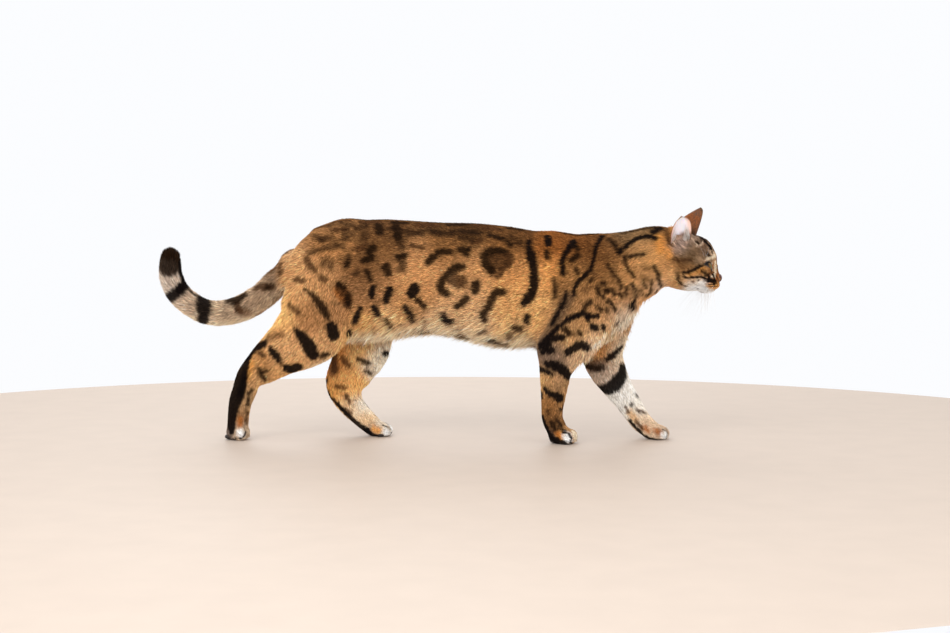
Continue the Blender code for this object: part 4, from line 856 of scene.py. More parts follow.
# The ground colour of each part at chosen places: x, z and reach in mm, then the linear colour.
GROUND = {
    "trunk": [
        (-150, 292, 22, (0.250, 0.120, 0.049)), (-60, 296, 20, (0.130, 0.059, 0.023)),
        (40, 292, 20, (0.045, 0.019, 0.006)), (120, 286, 18, (0.075, 0.031, 0.011)),
        (190, 278, 16, (0.170, 0.060, 0.016)), (-195, 262, 20, (0.640, 0.370, 0.190)),
        (-140, 262, 22, (0.440, 0.214, 0.082)), (-60, 264, 20, (0.200, 0.092, 0.034)),
        (30, 266, 20, (0.270, 0.124, 0.044)), (110, 264, 18, (0.300, 0.132, 0.044)),
        (165, 262, 16, (0.300, 0.105, 0.026)), (215, 256, 20, (0.180, 0.070, 0.022)),
        (-178, 228, 18, (0.700, 0.385, 0.180)), (-140, 232, 14, (0.440, 0.230, 0.105)),
        (-66, 246, 12, (0.300, 0.145, 0.058)), (-62, 218, 12, (0.400, 0.200, 0.086)),
        (-92, 170, 12, (0.780, 0.400, 0.150)), (177, 217, 8, (0.200, 0.092, 0.034)),
        (165, 240, 12, (0.660, 0.310, 0.100)), (-90, 232, 22, (0.205, 0.094, 0.037)),
        (-20, 232, 22, (0.600, 0.310, 0.135)), (50, 226, 22, (0.570, 0.300, 0.130)),
        (115, 226, 18, (0.600, 0.300, 0.115)), (152, 226, 12, (0.780, 0.390, 0.145)),
        (200, 226, 20, (0.330, 0.165, 0.062)), (235, 226, 20, (0.250, 0.115, 0.040)),
        (-90, 196, 18, (0.350, 0.175, 0.078)), (-20, 196, 18, (0.490, 0.255, 0.108)),
        (50, 190, 20, (0.600, 0.350, 0.180)), (115, 188, 18, (0.660, 0.360, 0.150)),
        (150, 184, 12, (0.720, 0.400, 0.165)), (200, 190, 18, (0.360, 0.185, 0.075)),
        (236, 190, 18, (0.430, 0.220, 0.094)), (-60, 158, 14, (0.900, 0.530, 0.260)),
        (10, 160, 14, (0.840, 0.520, 0.300)), (60, 158, 14, (0.820, 0.520, 0.290)),
        (110, 150, 14, (0.840, 0.500, 0.250)), (200, 156, 14, (0.440, 0.240, 0.105)),
        (236, 156, 12, (0.720, 0.420, 0.220)), (220, 136, 12, (0.800, 0.540, 0.340)),
        (0, 142, 10, (0.900, 0.620, 0.400)), (80, 132, 10, (0.920, 0.680, 0.460)),
        (180, 168, 14, (0.420, 0.230, 0.110)),
    ],
    "neck": [
        (262, 286, 14, (0.170, 0.100, 0.050)), (300, 292, 12, (0.120, 0.070, 0.035)),
        (285, 264, 14, (0.540, 0.300, 0.130)), (245, 256, 16, (0.210, 0.095, 0.034)),
        (262, 232, 14, (0.580, 0.300, 0.120)), (300, 248, 12, (0.620, 0.340, 0.130)),
        (296, 224, 14, (0.500, 0.270, 0.120)), (256, 196, 14, (0.500, 0.260, 0.115)),
        (290, 202, 12, (0.660, 0.360, 0.170)), (262, 172, 12, (0.820, 0.660, 0.500)),
        (310, 212, 8, (0.800, 0.620, 0.480)), (315, 230, 12, (0.640, 0.370, 0.170)),
    ],
    "face": [
        (336, 270, 6, (0.520, 0.380, 0.340)), (318, 284, 12, (0.480, 0.220, 0.075)),
        (312, 236, 12, (0.620, 0.310, 0.120)), (320, 220, 9, (0.700, 0.380, 0.180)),
        (345, 275, 10, (0.300, 0.200, 0.140)), (346, 257, 11, (0.210, 0.125, 0.064)),
        (335, 264, 8, (0.400, 0.280, 0.210)), (361, 250, 7, (0.300, 0.190, 0.110)),
        (366, 262, 8, (0.170, 0.100, 0.065)), (378, 258, 6, (0.580, 0.410, 0.270)),
        (340, 242, 8, (0.210, 0.105, 0.042)), (325, 242, 8, (0.360, 0.180, 0.070)),
        (384, 238, 6, (0.420, 0.200, 0.085)), (347, 230, 6, (0.620, 0.320, 0.130)),
        (362, 232, 6, (0.480, 0.250, 0.095)), (378, 226, 6, (0.300, 0.130, 0.055)),
        (338, 221, 7, (0.560, 0.300, 0.120)), (352, 214, 8, (0.900, 0.850, 0.800)),
        (366, 207, 8, (0.910, 0.870, 0.830)), (376, 213, 6, (0.560, 0.290, 0.130)),
        (352, 222, 5, (0.620, 0.360, 0.160)),
    ],
    "tail": [
        (-205, 238, 20, (0.240, 0.145, 0.090)), (-225, 200, 20, (0.460, 0.320, 0.200)),
        (-250, 196, 18, (0.400, 0.270, 0.170)), (-275, 176, 18, (0.500, 0.360, 0.240)),
        (-300, 180, 18, (0.480, 0.340, 0.220)), (-335, 180, 18, (0.560, 0.410, 0.290)),
        (-300, 160, 8, (0.760, 0.600, 0.450)), (-368, 222, 14, (0.560, 0.440, 0.350)),
        (-370, 195, 12, (0.640, 0.520, 0.420)),
    ],
    "foreleg_right": [
        (200, 180, 16, (0.400, 0.210, 0.090)), (195, 145, 14, (0.480, 0.280, 0.130)),
        (165, 122, 12, (0.220, 0.140, 0.090)), (196, 118, 8, (0.600, 0.380, 0.220)),
        (152, 88, 10, (0.560, 0.320, 0.140)), (170, 82, 10, (0.340, 0.200, 0.105)),
        (186, 80, 7, (0.460, 0.260, 0.120)), (160, 55, 12, (0.300, 0.140, 0.050)),
        (176, 55, 8, (0.380, 0.200, 0.085)),
    ],
    "forepaw_right": [
        (165, 34, 10, (0.160, 0.075, 0.030)), (182, 14, 8, (0.420, 0.230, 0.105)),
        (158, 10, 9, (0.060, 0.040, 0.030)),
    ],
    "foreleg_left": [
        (232, 180, 16, (0.460, 0.240, 0.100)), (228, 135, 12, (0.560, 0.270, 0.100)),
        (252, 130, 10, (0.800, 0.620, 0.440)), (235, 95, 10, (0.580, 0.430, 0.320)),
        (258, 70, 12, (0.880, 0.820, 0.740)), (275, 52, 10, (0.860, 0.780, 0.680)),
    ],
    "forepaw_left": [
        (280, 36, 9, (0.700, 0.520, 0.360)), (296, 28, 8, (0.600, 0.440, 0.300)), (316, 16, 8, (0.520, 0.380, 0.270)),
    ],
    "hindleg_right": [
        (-215, 165, 12, (0.900, 0.500, 0.200)), (-150, 220, 18, (0.520, 0.275, 0.120)),
        (-125, 180, 16, (0.370, 0.185, 0.080)), (-165, 170, 18, (0.390, 0.195, 0.083)),
        (-205, 175, 14, (0.860, 0.480, 0.200)), (-110, 140, 12, (0.720, 0.400, 0.170)),
        (-150, 135, 14, (0.600, 0.335, 0.160)), (-200, 130, 16, (0.640, 0.360, 0.175)),
        (-190, 98, 10, (0.660, 0.360, 0.150)), (-235, 112, 12, (0.520, 0.270, 0.110)),
        (-245, 88, 10, (0.560, 0.320, 0.150)), (-256, 60, 10, (0.440, 0.270, 0.140)),
    ],
    "hindpaw_right": [
        (-268, 35, 8, (0.300, 0.160, 0.075)), (-262, 14, 8, (0.520, 0.380, 0.260)),
        (-284, 12, 6, (0.160, 0.120, 0.100)),
    ],
    "hindleg_left": [
        (-140, 220, 18, (0.460, 0.240, 0.105)), (-110, 170, 16, (0.660, 0.320, 0.120)),
        (-132, 115, 12, (0.660, 0.280, 0.090)), (-100, 122, 10, (0.860, 0.500, 0.220)),
        (-78, 110, 10, (0.880, 0.720, 0.540)), (-110, 85, 12, (0.900, 0.460, 0.180)),
        (-132, 72, 8, (0.820, 0.400, 0.130)), (-112, 52, 9, (0.840, 0.540, 0.300)),
        (-98, 50, 8, (0.880, 0.760, 0.620)),
    ],
    "hindpaw_left": [
        (-95, 34, 8, (0.740, 0.500, 0.300)), (-62, 20, 8, (0.640, 0.520, 0.400)), (-84, 12, 7, (0.300, 0.200, 0.150)),
    ],
}
TAWNY = (0.62, 0.50)           # green and blue of a tawny colour are less than these shares of its red
WARMED = (1.0, 0.98, 0.90)     # what a tawny colour is multiplied by as it is laid


def station(side):
    """The place that a side is looked at from: for the left side, the station's mirror image."""
    return STATION * [1, -side, 1]


def legs_of(skin, word):
    """True at the vertices of the legs and paws of one side."""
    return np.array([name in LEGS and name.endswith(word) for name in skin.part])


def on_board(points, side):
    """Where the line from that side's station through each point meets the board."""
    place = station(side)
    share = (side * BOARD - place[1]) / (points[:, 1] - place[1])
    return place[[0, 2]] + (points[:, [0, 2]] - place[[0, 2]]) * share[:, None]


class View:
    """One way of looking at the skin: flat places of the vertices, how near they are, and which can be seen."""

    def __init__(self, skin, kind):
        points, normals = skin.points, skin.normals
        self.kind, self.points = kind, points
        if kind in SIDES:
            place = station(SIDES[kind])
            self.flat = on_board(points, SIDES[kind])
            self.near = np.linalg.norm(points - place, axis=1)
            self.seen = ((place - points) * normals).sum(axis=1) > 0.06
        elif kind in ("above", "below"):
            sign = 1 if kind == "above" else -1
            self.flat, self.near, self.seen = points[:, :2], -sign * points[:, 2], sign * normals[:, 2] > 0.15
        else:
            local = unturned(points)
            self.flat, self.near = local[:, 1:], -local[:, 0]
            self.seen = (normals[:, 0] > 0.05) & (points[:, 0] > HEAD_START)

    def tree(self, allowed):
        """The flat places of the allowed vertices that can be seen, sorted for finding those near a spot."""
        index = np.flatnonzero(self.seen & allowed)
        found = KDTree(len(index))
        for k, (a, b) in zip(index.tolist(), self.flat[index].tolist()):
            found.insert((a, b, 0.0), k)
        found.balance()
        return found

    def lay(self, spots, tree):
        """Brings flat spots onto the skin: the seen vertices round each, of the nearest layer, give its depth."""
        places = np.empty((len(spots), 3))
        for k, (a, b) in enumerate(spots.tolist()):
            close = tree.find_range((a, b, 0.0), 0.0045) or [tree.find((a, b, 0.0))]
            index = np.array([row[1] for row in close])
            gaps = np.array([row[2] for row in close])
            front = self.near[index] < self.near[index].min() + 0.012
            weight = np.where(front, 1 / (gaps + 0.0004) ** 3, 0.0)
            places[k] = weight @ self.points[index] / weight.sum()
        if self.kind in SIDES:
            place, depth = station(SIDES[self.kind]), SIDES[self.kind] * BOARD
            board = np.stack([spots[:, 0], np.full(len(spots), depth), spots[:, 1]], axis=1)
            share = (places[:, 1] - place[1]) / (depth - place[1])
            laid = place + (board - place) * share[:, None]
        elif self.kind in ("above", "below"):
            laid = np.column_stack([spots, places[:, 2]])
        else:
            local = unturned(places)
            laid = turned(np.column_stack([local[:, 0], spots]))
        near = np.linalg.norm(laid - places, axis=1) < 0.006
        return np.where(near[:, None], laid, places)


def strokes_of(skin):
    """All markings as (ink, dots on the skin, their radii).

    The left flank's and the tail's left side have the right's, each stroke shifted and its width changed a
    little, and the left half of the face has the right half's.
    """
    views = {kind: View(skin, kind) for kind in ("right", "left", "above", "below", "front")}
    left_legs, right_legs = legs_of(skin, "left"), legs_of(skin, "right")
    body, tail = ~(left_legs | right_legs), skin.part == "tail"
    head = skin.points[:, 0] > HEAD_START
    rng = np.random.default_rng(SEED)
    found = []

    def lay(rows, kind, allowed, shift=0.0, mirror=False, wider=WIDER):
        tree = views[kind].tree(allowed)
        for ink, width, *spots in rows:
            width = np.ravel(width)
            widths = np.interp(np.linspace(0, 1, len(spots)), np.linspace(0, 1, len(width)), width)
            table = np.column_stack([np.array(spots, float), wider[0] * widths + wider[1]]) / 1000
            if shift:
                table[:, :2] += rng.normal(0, shift, 2)
                table[:, 2] *= rng.uniform(0.85, 1.15)
            table = through(table, np.clip(0.5 * table[:, 2].min(), *DOT_SPACING))
            dots = views[kind].lay(table[:, :2], tree)
            found.append((ink, dots, table[:, 2]))
            if mirror:
                found.append((ink, turned(unturned(dots), -1), table[:, 2]))

    lay(BACK, "above", body)
    lay(BELLY, "below", body)
    lay(FLANK, "right", ~left_legs)
    lay(BREAST, "right", ~left_legs)
    lay(FLANK, "left", ~right_legs, shift=SHIFT)
    lay(TAIL, "right", tail)
    lay(TAIL, "left", tail, shift=TAIL_SHIFT)
    lay(BROW, "front", head, mirror=True, wider=WIDER_HEAD)
    lay(HEAD, "right", head, mirror=True, wider=WIDER_HEAD)
    lay(NEAR_FORELEG, "right", right_legs)
    lay(NEAR_HINDLEG, "right", right_legs)
    lay(FAR_FORELEG, "right", left_legs)
    lay(FAR_HINDLEG, "right", left_legs)
    lay(LEFT_LEGS_OUT, "left", left_legs)
    lay(RIGHT_LEGS_IN, "left", right_legs)
    return found


def as_laid(colour):
    """A colour of the ground table as it is laid: a tawny one is warmed."""
    red, green, blue = colour
    tawny = green / red < TAWNY[0] and blue / red < TAWNY[1]
    return np.array(colour) * WARMED if tawny else np.array(colour)


def ground_colours(skin):
    """The ground colour at the vertices: a mean of the table's colours, each weighted as a bell of its reach.

    The left legs, the tail and the rest are worked out apart, and the left half of the rest has the right's.
    """
    on_right = (skin.points[:, 1] < MIDDLE)[:, None]
    flat = np.where(on_right, on_board(skin.points, RIGHT), on_board(skin.points, LEFT))
    far, near, tail = legs_of(skin, "left"), legs_of(skin, "right"), skin.part == "tail"
    flat[far | near] = on_board(skin.points[far | near], RIGHT)
    colours = np.zeros((len(flat), 3))
    for mine, chosen in (
        (far, lambda name: name.endswith("left")),
        (tail, lambda name: name == "tail"),
        (~(far | tail), lambda name: not name.endswith("left") and name != "tail"),
    ):
        total = np.full(mine.sum(), 1e-9)
        mixed = np.zeros((mine.sum(), 3))
        for x, z, reach, colour in [row for name, rows in GROUND.items() if chosen(name) for row in rows]:
            gap = ((flat[mine] - [x / 1000, z / 1000]) ** 2).sum(axis=1)
            weight = np.exp(-gap / (2 * (0.8 * reach / 1000) ** 2)) + 1e-7 / (1 + gap * 1e4)
            total += weight
            mixed += weight[:, None] * as_laid(colour)
        colours[mine] = mixed / total[:, None]
    x, y, z = skin.points.T
    facing = np.sign(y) * skin.normals[:, 1]
    under = smoothstep(0.60, 0.95, -skin.normals[:, 2]) * smoothstep(0.09, 0.12, z) * (1 - smoothstep(0.24, 0.28, x))
    inner = np.where(near, smoothstep(0.3, 0.9, -facing), 0.0)
    outer = np.where(far, smoothstep(0.2, 0.8, facing), 0.0) * smoothstep(0.03, 0.08, z)
    colours = towards(colours, (0.92, 0.66, 0.42), 0.8 * under)
    colours = towards(colours, (0.84, 0.62, 0.42), 0.55 * inner)
    colours = towards(colours, (0.46, 0.25, 0.11), 0.6 * outer)
    skin.under = blurred(under, skin.edges, 8)
    return blurred(colours, skin.edges, 12)


def marked(colours, points, strokes, jitter):
    """Colours with the markings laid over them, each by the points' distances from its dots."""
    colours = colours.copy()
    uneven = 0.0006 * ripples(points, 0.007, 3) + 0.0004 * ripples(points, 0.0028, 4) + jitter
    order = np.argsort(points[:, 0])
    sorted_x = points[order, 0]
    for ink, dots, radii in sorted(strokes, key=lambda row: ORDER.index(row[0])):
        colour, strength, soft = INKS[ink]
        small = min(1.0, radii.max() / 0.003)               # a stroke under 3 mm has a sharper, steadier edge
        gap = np.full(len(points), 1.0)
        for start in range(0, len(dots), 12):
            some, reach = dots[start : start + 12], radii[start : start + 12]
            far = reach.max() + soft + MARGIN
            low, high = some.min(axis=0) - far, some.max(axis=0) + far
            slab = order[np.searchsorted(sorted_x, low[0]) : np.searchsorted(sorted_x, high[0])]
            close = slab[((points[slab, 1:] > low[1:]) & (points[slab, 1:] < high[1:])).all(axis=1)]
            if len(close):
                span = np.linalg.norm(points[close, None, :] - some[None, :, :], axis=2) - reach
                gap[close] = np.minimum(gap[close], span.min(axis=1))
        close = np.flatnonzero(gap < soft + MARGIN)
        edge = gap[close] + uneven[close] * small
        share = strength * smoothstep(soft * small, -soft * small, edge)
        colours[close] = towards(colours[close], colour, share)
    return colours


# ---------------------------------------------------------------- the coat
def bare_share(skin):
    """1 where no hair grows: in the eyes' openings, under the nose leather, in the mouth and on the soles."""
    leather = (((unturned(skin.points) - NOSE) / [0.0062, 0.0080, 0.0062]) ** 2).sum(axis=1)
    return np.maximum.reduce([
        smoothstep(0.0000, -0.0003, skin.over),
        smoothstep(1.25, 0.95, leather),
        smoothstep(0.0007, 0.0003, skin.mouth),
        smoothstep(0.0016, 0.0008, skin.points[:, 2]) * (skin.normals[:, 2] < -0.5),
    ])


def sow(skin, mesh, rng):
    """Spreads roots over the skin's triangles, COVER layers deep. Gives each root's corners and their shares."""
    mesh.calc_loop_triangles()
    corners = array_of(mesh.loop_triangles, "vertices", 3, np.int32)
    a, b, c = (skin.points[corners[:, k]] for k in range(3))
    area = np.linalg.norm(np.cross(b - a, c - a), axis=1) / 2
    size = (skin.length * skin.width)[corners].mean(axis=1) / 2
    count = COVER * area / size * (1 - bare_share(skin)[corners].mean(axis=1))
    number = np.diff(np.floor(np.cumsum(count) + rng.uniform()).astype(int), prepend=0)
    face = np.repeat(np.arange(len(corners)), number)
    share = rng.random((len(face), 2))
    share = np.where((share.sum(axis=1) > 1)[:, None], 1 - share, share)
    return corners[face], np.column_stack([1 - share.sum(axis=1), share])


def around(points, name):
    """Where points lie on a part's own unwrap: run along its chain, and angle round it from underneath, 0 to 1."""
    rows = np.asarray(CHAINS[name], float)
    best = np.full(len(points), np.inf)
    angle = np.zeros(len(points))
    for a, b in zip(rows[:, :3], rows[1:, :3]):
        span = b - a
        t = np.clip((points - a) @ span / (span @ span), 0, 1)
        out = points - a - t[:, None] * span
        side = np.array([0.0, 1.0, 0.0]) - span * span[1] / (span @ span)
        up = np.cross(side, unit(span))
        gap = np.linalg.norm(out, axis=1)
        angle = np.where(gap < best, np.arctan2(out @ side, out @ up), angle)
        best = np.minimum(best, gap)
    return nearest_on_chain(points, CHAINS[name])[2], (angle + math.pi) / (2 * math.pi)


def tufts(name, roots, normals, ways, lengths, widths, lifts, colours, tips, uv):
    """One closed four-sided wedge for each tuft, from a sunk broad root to a point, with its OFBake patch."""
    count = len(roots)
    aside = unit(np.cross(normals, ways))
    low = roots - normals * 0.0003
    along = ways * np.cos(lifts)[:, None] + normals * np.sin(lifts)[:, None]
    up = unit(np.cross(along, aside))
    half = aside * (widths / 2)[:, None]
    ridge = low + along * (0.16 * lengths)[:, None] + up * (0.30 * widths + 0.0002)[:, None]
    points = np.stack([low - half, low + half, ridge, low + along * lengths[:, None]], axis=1)
    points[..., 2] = np.maximum(points[..., 2], FLOOR_GAP)
    corners = np.array([[0, 2, 1], [0, 3, 2], [2, 3, 1], [0, 1, 3]])
    volume = np.einsum("ij,ij->i", np.cross(points[:, 2] - points[:, 0], points[:, 1] - points[:, 0]),
                       points[:, 3] - points[:, 0])
    if np.median(volume) > 0:
        corners = corners[:, ::-1]
    faces = (np.arange(count)[:, None, None] * 4 + corners).reshape(-1, 3)
    mesh = mesh_from(name, points.reshape(-1, 3), faces, smooth=False)
    # painted shade darkens each tuft's root and, less, its ridge, and painted light brightens its tip
    shade = np.array([0.68, 0.68, 0.93, 1.16])              # of the root's two corners, the ridge and the tip
    shaded = np.stack([colours, colours, 0.6 * colours + 0.4 * tips, tips], axis=1) * shade[None, :, None]
    give_colours(mesh, np.clip(shaded, 0, 1).reshape(-1, 3))
    spread = np.array([[-1, -1], [1, -1], [0, 0], [0, 1]]) * 0.0015
    places = (uv[:, None, :] + spread[None, :, :])[:, corners.ravel(), :]
    layer = mesh.uv_layers.new(name="OFBake")
    layer.uv.foreach_set("vector", places.astype(np.float32).ravel())
    return new_object(name, mesh)


def coat_piece_of(part, x, y):
    """The coat piece that a root belongs to."""
    side = "right" if y < MIDDLE else "left"
    if part == "trunk":
        return f"coat_{'haunch' if x < -0.085 else 'flank' if x < 0.075 else 'shoulder'}_{side}"
    if part.startswith(("fore", "hind")):
        return "coat_" + part.replace("paw", "leg")
    return {"face": "coat_head", "neck": "coat_neck", "tail": "coat_tail"}[part]


def on_unwrap(run, across):
    """Places on a piece's unwrap, inside a narrow margin, from two shares between 0 and 1."""
    return np.column_stack([UV_EDGE + (1 - 2 * UV_EDGE) * run, UV_EDGE + (1 - 2 * UV_EDGE) * np.clip(across, 0, 1)])


def lay_coat(skin, mesh, ground, strokes):
    """Sows, tips and colours the tufts of the whole skin, and makes one object for each coat piece."""
    rng = np.random.default_rng(SEED + 1)
    corners, share = sow(skin, mesh, rng)

    def mixed(values):
        return (values[corners] * (share[..., None] if values.ndim == 2 else share)).sum(axis=1)

    roots, normals = mixed(skin.points), unit(mixed(skin.normals))
    ways = mixed(skin.flow)
    ways = unit(ways - normals * (ways * normals).sum(axis=1)[:, None])
    veer = np.radians(6 * ripples(roots, 0.012, 21) + 5 * ripples(roots, 0.005, 22) + rng.normal(0, 5, len(roots)))
    ways = ways * np.cos(veer)[:, None] + np.cross(normals, ways) * np.sin(veer)[:, None]
    lengths = mixed(skin.length) * rng.uniform(0.75, 1.2, len(roots))
    widths = mixed(skin.width) * rng.uniform(0.8, 1.25, len(roots))
    depths = mixed(skin.depth)
    lifts = np.arcsin(np.clip(depths * rng.uniform(0.75, 1.35, len(roots)) / lengths, 0, 0.6))
    wisp = rng.random(len(roots)) < 0.45 * mixed(skin.belly)      # longer hairs that hang from the belly
    lengths = np.where(wisp, 1.6 * lengths, lengths)
    lifts = np.where(wisp, rng.uniform(0.40, 0.85, len(roots)), lifts)
    mottle = 1 + 0.05 * ripples(roots, 0.010, 31) + 0.035 * ripples(roots, 0.028, 32)
    mottle += 0.09 * ripples(roots, 0.004, 33)
    colours = mixed(ground) * mottle[:, None]
    uneven = rng.normal(0, 0.0003, len(roots))
    tips = towards(colours, FRINGE, 0.6 * mixed(skin.under))
    tips = marked(tips, roots + ways * (0.82 * lengths)[:, None], strokes, uneven)
    colours = marked(colours, roots + ways * (0.35 * lengths)[:, None], strokes, uneven)
    ticked = rng.random(len(roots))
    grain = np.exp(rng.normal(0, 0.34, len(roots)))
    grain *= np.where(ticked < 0.14, 0.42, np.where(ticked > 0.88, 1.55, 1.0))
    neck = smoothstep(0.24, 0.30, roots[:, 0]) * (1 - 0.8 * smoothstep(0.312, 0.334, roots[:, 0]))
    grain **= 1 - 0.5 * neck                           # the neck is smoother
    colours, tips = colours * grain[:, None], tips * grain[:, None]
    part = skin.part[corners[:, 0]]
    names = np.array([coat_piece_of(*row) for row in zip(part, roots[:, 0], roots[:, 1])])
    uv = np.zeros((len(roots), 2))
    for name in PARTS:
        mine = part == name
        run, angle = around(roots[mine], name)
        if "leg" in name:
            run = 0.70 * run
        elif "paw" in name:
            run = 0.74 + 0.26 * run
        elif name == "trunk":
            angle = np.where(roots[mine, 1] < MIDDLE, 2 * angle, 2 * angle - 1)
        uv[mine] = on_unwrap(run, angle)
    made = []
    for name in sorted(set(names)):
        mine = names == name
        made.append(tufts(name, roots[mine], normals[mine], ways[mine], lengths[mine], widths[mine], lifts[mine],
                          colours[mine], tips[mine], uv[mine]))
    return made


# ---------------------------------------------------------------- ears
# Each ear of the unturned head: middle of the base, the way it points, the way it opens, its length and
# half width, the power that rounds its outline, the sweep of its tip, and the share of the width at its foot.
EARS = {
    "ear_right": ((0.3310, -0.0230, 0.260), (0.05, -0.34, 1.0), (0.42, -1.0, 0.05), 0.0470, 0.0145, 6.0, 0.003, 0.76),
    "ear_left": ((0.3371, 0.0215, 0.276), (0.60, 0.16, 1.0), (0.42, 0.89, -0.20), 0.0525, 0.0190, 1.3, -0.007, 1.0),
}
EAR_ROWS, EAR_COLUMNS = 56, 36
EAR_TUFTS, EAR_HAIRS = 5200, 210                # of each ear; of the tufts, those beyond its outline are dropped
# The tufts of each ear: colour low on its back, high on it and at its rim, and where its half of the unwrap starts.
EAR_COATS = {
    "ear_right": ((0.56, 0.22, 0.050), (0.22, 0.085, 0.030), (0.240, 0.105, 0.045), 0.0),
    "ear_left": ((0.36, 0.130, 0.045), (0.30, 0.100, 0.034), (0.030, 0.014, 0.009), 0.5),
}


def ear_sheet(name, t, u):
    """Points of an ear's hollow face, its opening direction and its thickness, for t up it and u across it.

    Half its width is W n (1 - t^p)^0.7 + 1.4 mm, with n rising from its foot's share to 1 at t = 0.55 as a
    sine. It is hollowed by 10.5 (1 - 0.55 t) (1 - u^2) + 4 t^2 mm, and its middle line strays by its sweep
    times t^2. Its wall is 1.4 (1 - 0.65 t) sqrt(1 - u^2) (1 - t^6) + 0.4 mm thick.
    """
    base, pointing, facing, length, half_width, power, sweep, foot = EARS[name]
    base = turned([base])[0]
    up = unit(way_of(pointing))
    front = way_of(facing)
    front = unit(front - up * (front @ up))
    across = np.cross(up, front)
    rise = np.clip(t, 0, 1)
    narrow = foot + (1 - foot) * np.sin(math.pi / 2 * np.minimum(1, rise / 0.55))
    half = half_width * narrow * (1 - rise**power) ** 0.7 + 0.0014
    hollow = 0.0105 * (1 - 0.55 * rise) * (1 - u**2) + 0.004 * rise**2
    points = (base + up * (t * length)[..., None] + across * (u * half + sweep * rise**2)[..., None]
              - front * hollow[..., None])
    thick = 0.0014 * (1 - 0.65 * rise) * np.sqrt(np.clip(1 - u**2, 0, 1)) * (1 - rise**6) + 0.0004
    return points, front, up, thick


def make_ear(name, look):
    """A closed leaf: the hollow face and, a wall behind it, the back, joined round the rim."""
    rows, columns = EAR_ROWS, EAR_COLUMNS
    t, u = np.meshgrid(np.linspace(-0.14, 1, rows), np.linspace(-1, 1, columns), indexing="ij")
    face, front, _, thick = ear_sheet(name, t, u)
    back = face - front * thick[..., None]
    ring = np.concatenate([face, back[:, ::-1]], axis=1)
    wide = 2 * columns
    index = np.arange(rows * wide).reshape(rows, wide)
    step = np.roll(index, -1, axis=1)
    sides = np.stack([index[:-1], step[:-1], step[1:], index[1:]], axis=-1).reshape(-1, 4)
    caps = []
    for row, flip in ((0, False), (rows - 1, True)):
        a, b = index[row, : columns - 1], index[row, 1:columns]
        c, d = index[row, wide - 2 : columns - 1 : -1], index[row, wide - 1 : columns : -1]
        strip = np.stack([a, d, c, b], axis=-1)
        caps.append(strip[:, ::-1] if flip else strip)
    mesh = mesh_from(name + "_skin", ring.reshape(-1, 3), np.vstack([sides, *caps]))
    face_outwards(mesh)
    across, high = np.concatenate([u, u[:, ::-1]], axis=1), np.concatenate([t, t[:, ::-1]], axis=1)
    rim = np.abs(across)
    pink, pale, brown = np.array([0.80, 0.50, 0.42]), np.array([0.82, 0.76, 0.80]), np.array([0.10, 0.045, 0.02])
    colours = towards(pink, pale, smoothstep(0.95, 0.45, rim))
    # painted shade deep in the hollow, low in its middle
    colours = towards(colours, (0.34, 0.20, 0.17), smoothstep(0.32, 0.05, high) * smoothstep(0.95, 0.4, rim))
    front_foot = smoothstep(0.60, 0.44, high) * smoothstep(-0.1, 0.45, across)
    colours = towards(colours, (0.20, 0.125, 0.09), front_foot)
    for rise, over, reach in ((0.44, -0.20, 0.05), (0.30, -0.42, 0.07), (0.20, 0.10, 0.06)):
        fleck = np.exp(-(((high - rise) / reach) ** 2 + ((across - over) / (2.2 * reach)) ** 2))
        colours = towards(colours, (0.10, 0.08, 0.09), 0.8 * fleck)
    edge = np.maximum(smoothstep(0.975, 0.995, rim), smoothstep(0.975, 0.992, high))
    colours = towards(colours, brown, edge)
    colours[:, columns:] = brown                            # the back, where it shows through its tufts
    return dressed(name + "_skin", mesh, colours.reshape(-1, 3), look)


def ear_coat(name, rng):
    """Short tufts on an ear's back and rim, growing up it and outwards. Gives the arrays that tufts takes."""
    t, u = rng.uniform(-0.05, 0.985, EAR_TUFTS), rng.uniform(-1, 1, EAR_TUFTS)
    keep = rng.random(EAR_TUFTS) < (1 - np.clip(t, 0, 1) ** EARS[name][5]) ** 0.7 * 0.9 + 0.12
    t, u = t[keep], u[keep]
    step = 1e-3
    here, front, _, thick = ear_sheet(name, t, u)
    high, _, _, more = ear_sheet(name, t + step, u)
    wide, _, _, side = ear_sheet(name, t, u + step)
    here = here - front * thick[:, None]
    climb = unit(high - front * more[:, None] - here)
    slope = unit(wide - front * side[:, None] - here)
    normals = unit(np.cross(climb, slope))
    normals *= -np.sign(normals @ front)[:, None]
    ways = unit(climb + slope * (0.55 * u)[:, None] + slope * rng.normal(0, 0.10, len(t))[:, None])
    low, high, edge, half = EAR_COATS[name]
    colours = towards(np.array(low), high, smoothstep(0.18, 0.72, t))
    if name == "ear_left":                             # its foot runs into the dark fur of the brow
        colours = towards(colours, (0.050, 0.022, 0.012), smoothstep(0.55, 0.25, t) * smoothstep(0.0, -0.6, u))
    rim = np.maximum(smoothstep(0.88, 0.98, np.abs(u)) * smoothstep(0.3, 0.7, t), smoothstep(0.84, 0.95, t))
    colours = towards(colours, edge, rim)
    lengths = rng.uniform(0.0026, 0.0040, len(t)) * np.where((t > 0.72) | (np.abs(u) > 0.85), 0.5, 1)
    widths = rng.uniform(0.00045, 0.0007, len(t))
    lifts = np.full(len(t), 0.14)
    uv = np.column_stack([UV_EDGE + (1 - 2 * UV_EDGE) * np.clip(t, 0, 1), UV_EDGE + half + 0.46 * (u + 1) / 2])
    colours = colours * np.exp(rng.normal(0, 0.22, len(t)))[:, None]
    return here, normals, ways, lengths, widths, lifts, colours, colours, uv


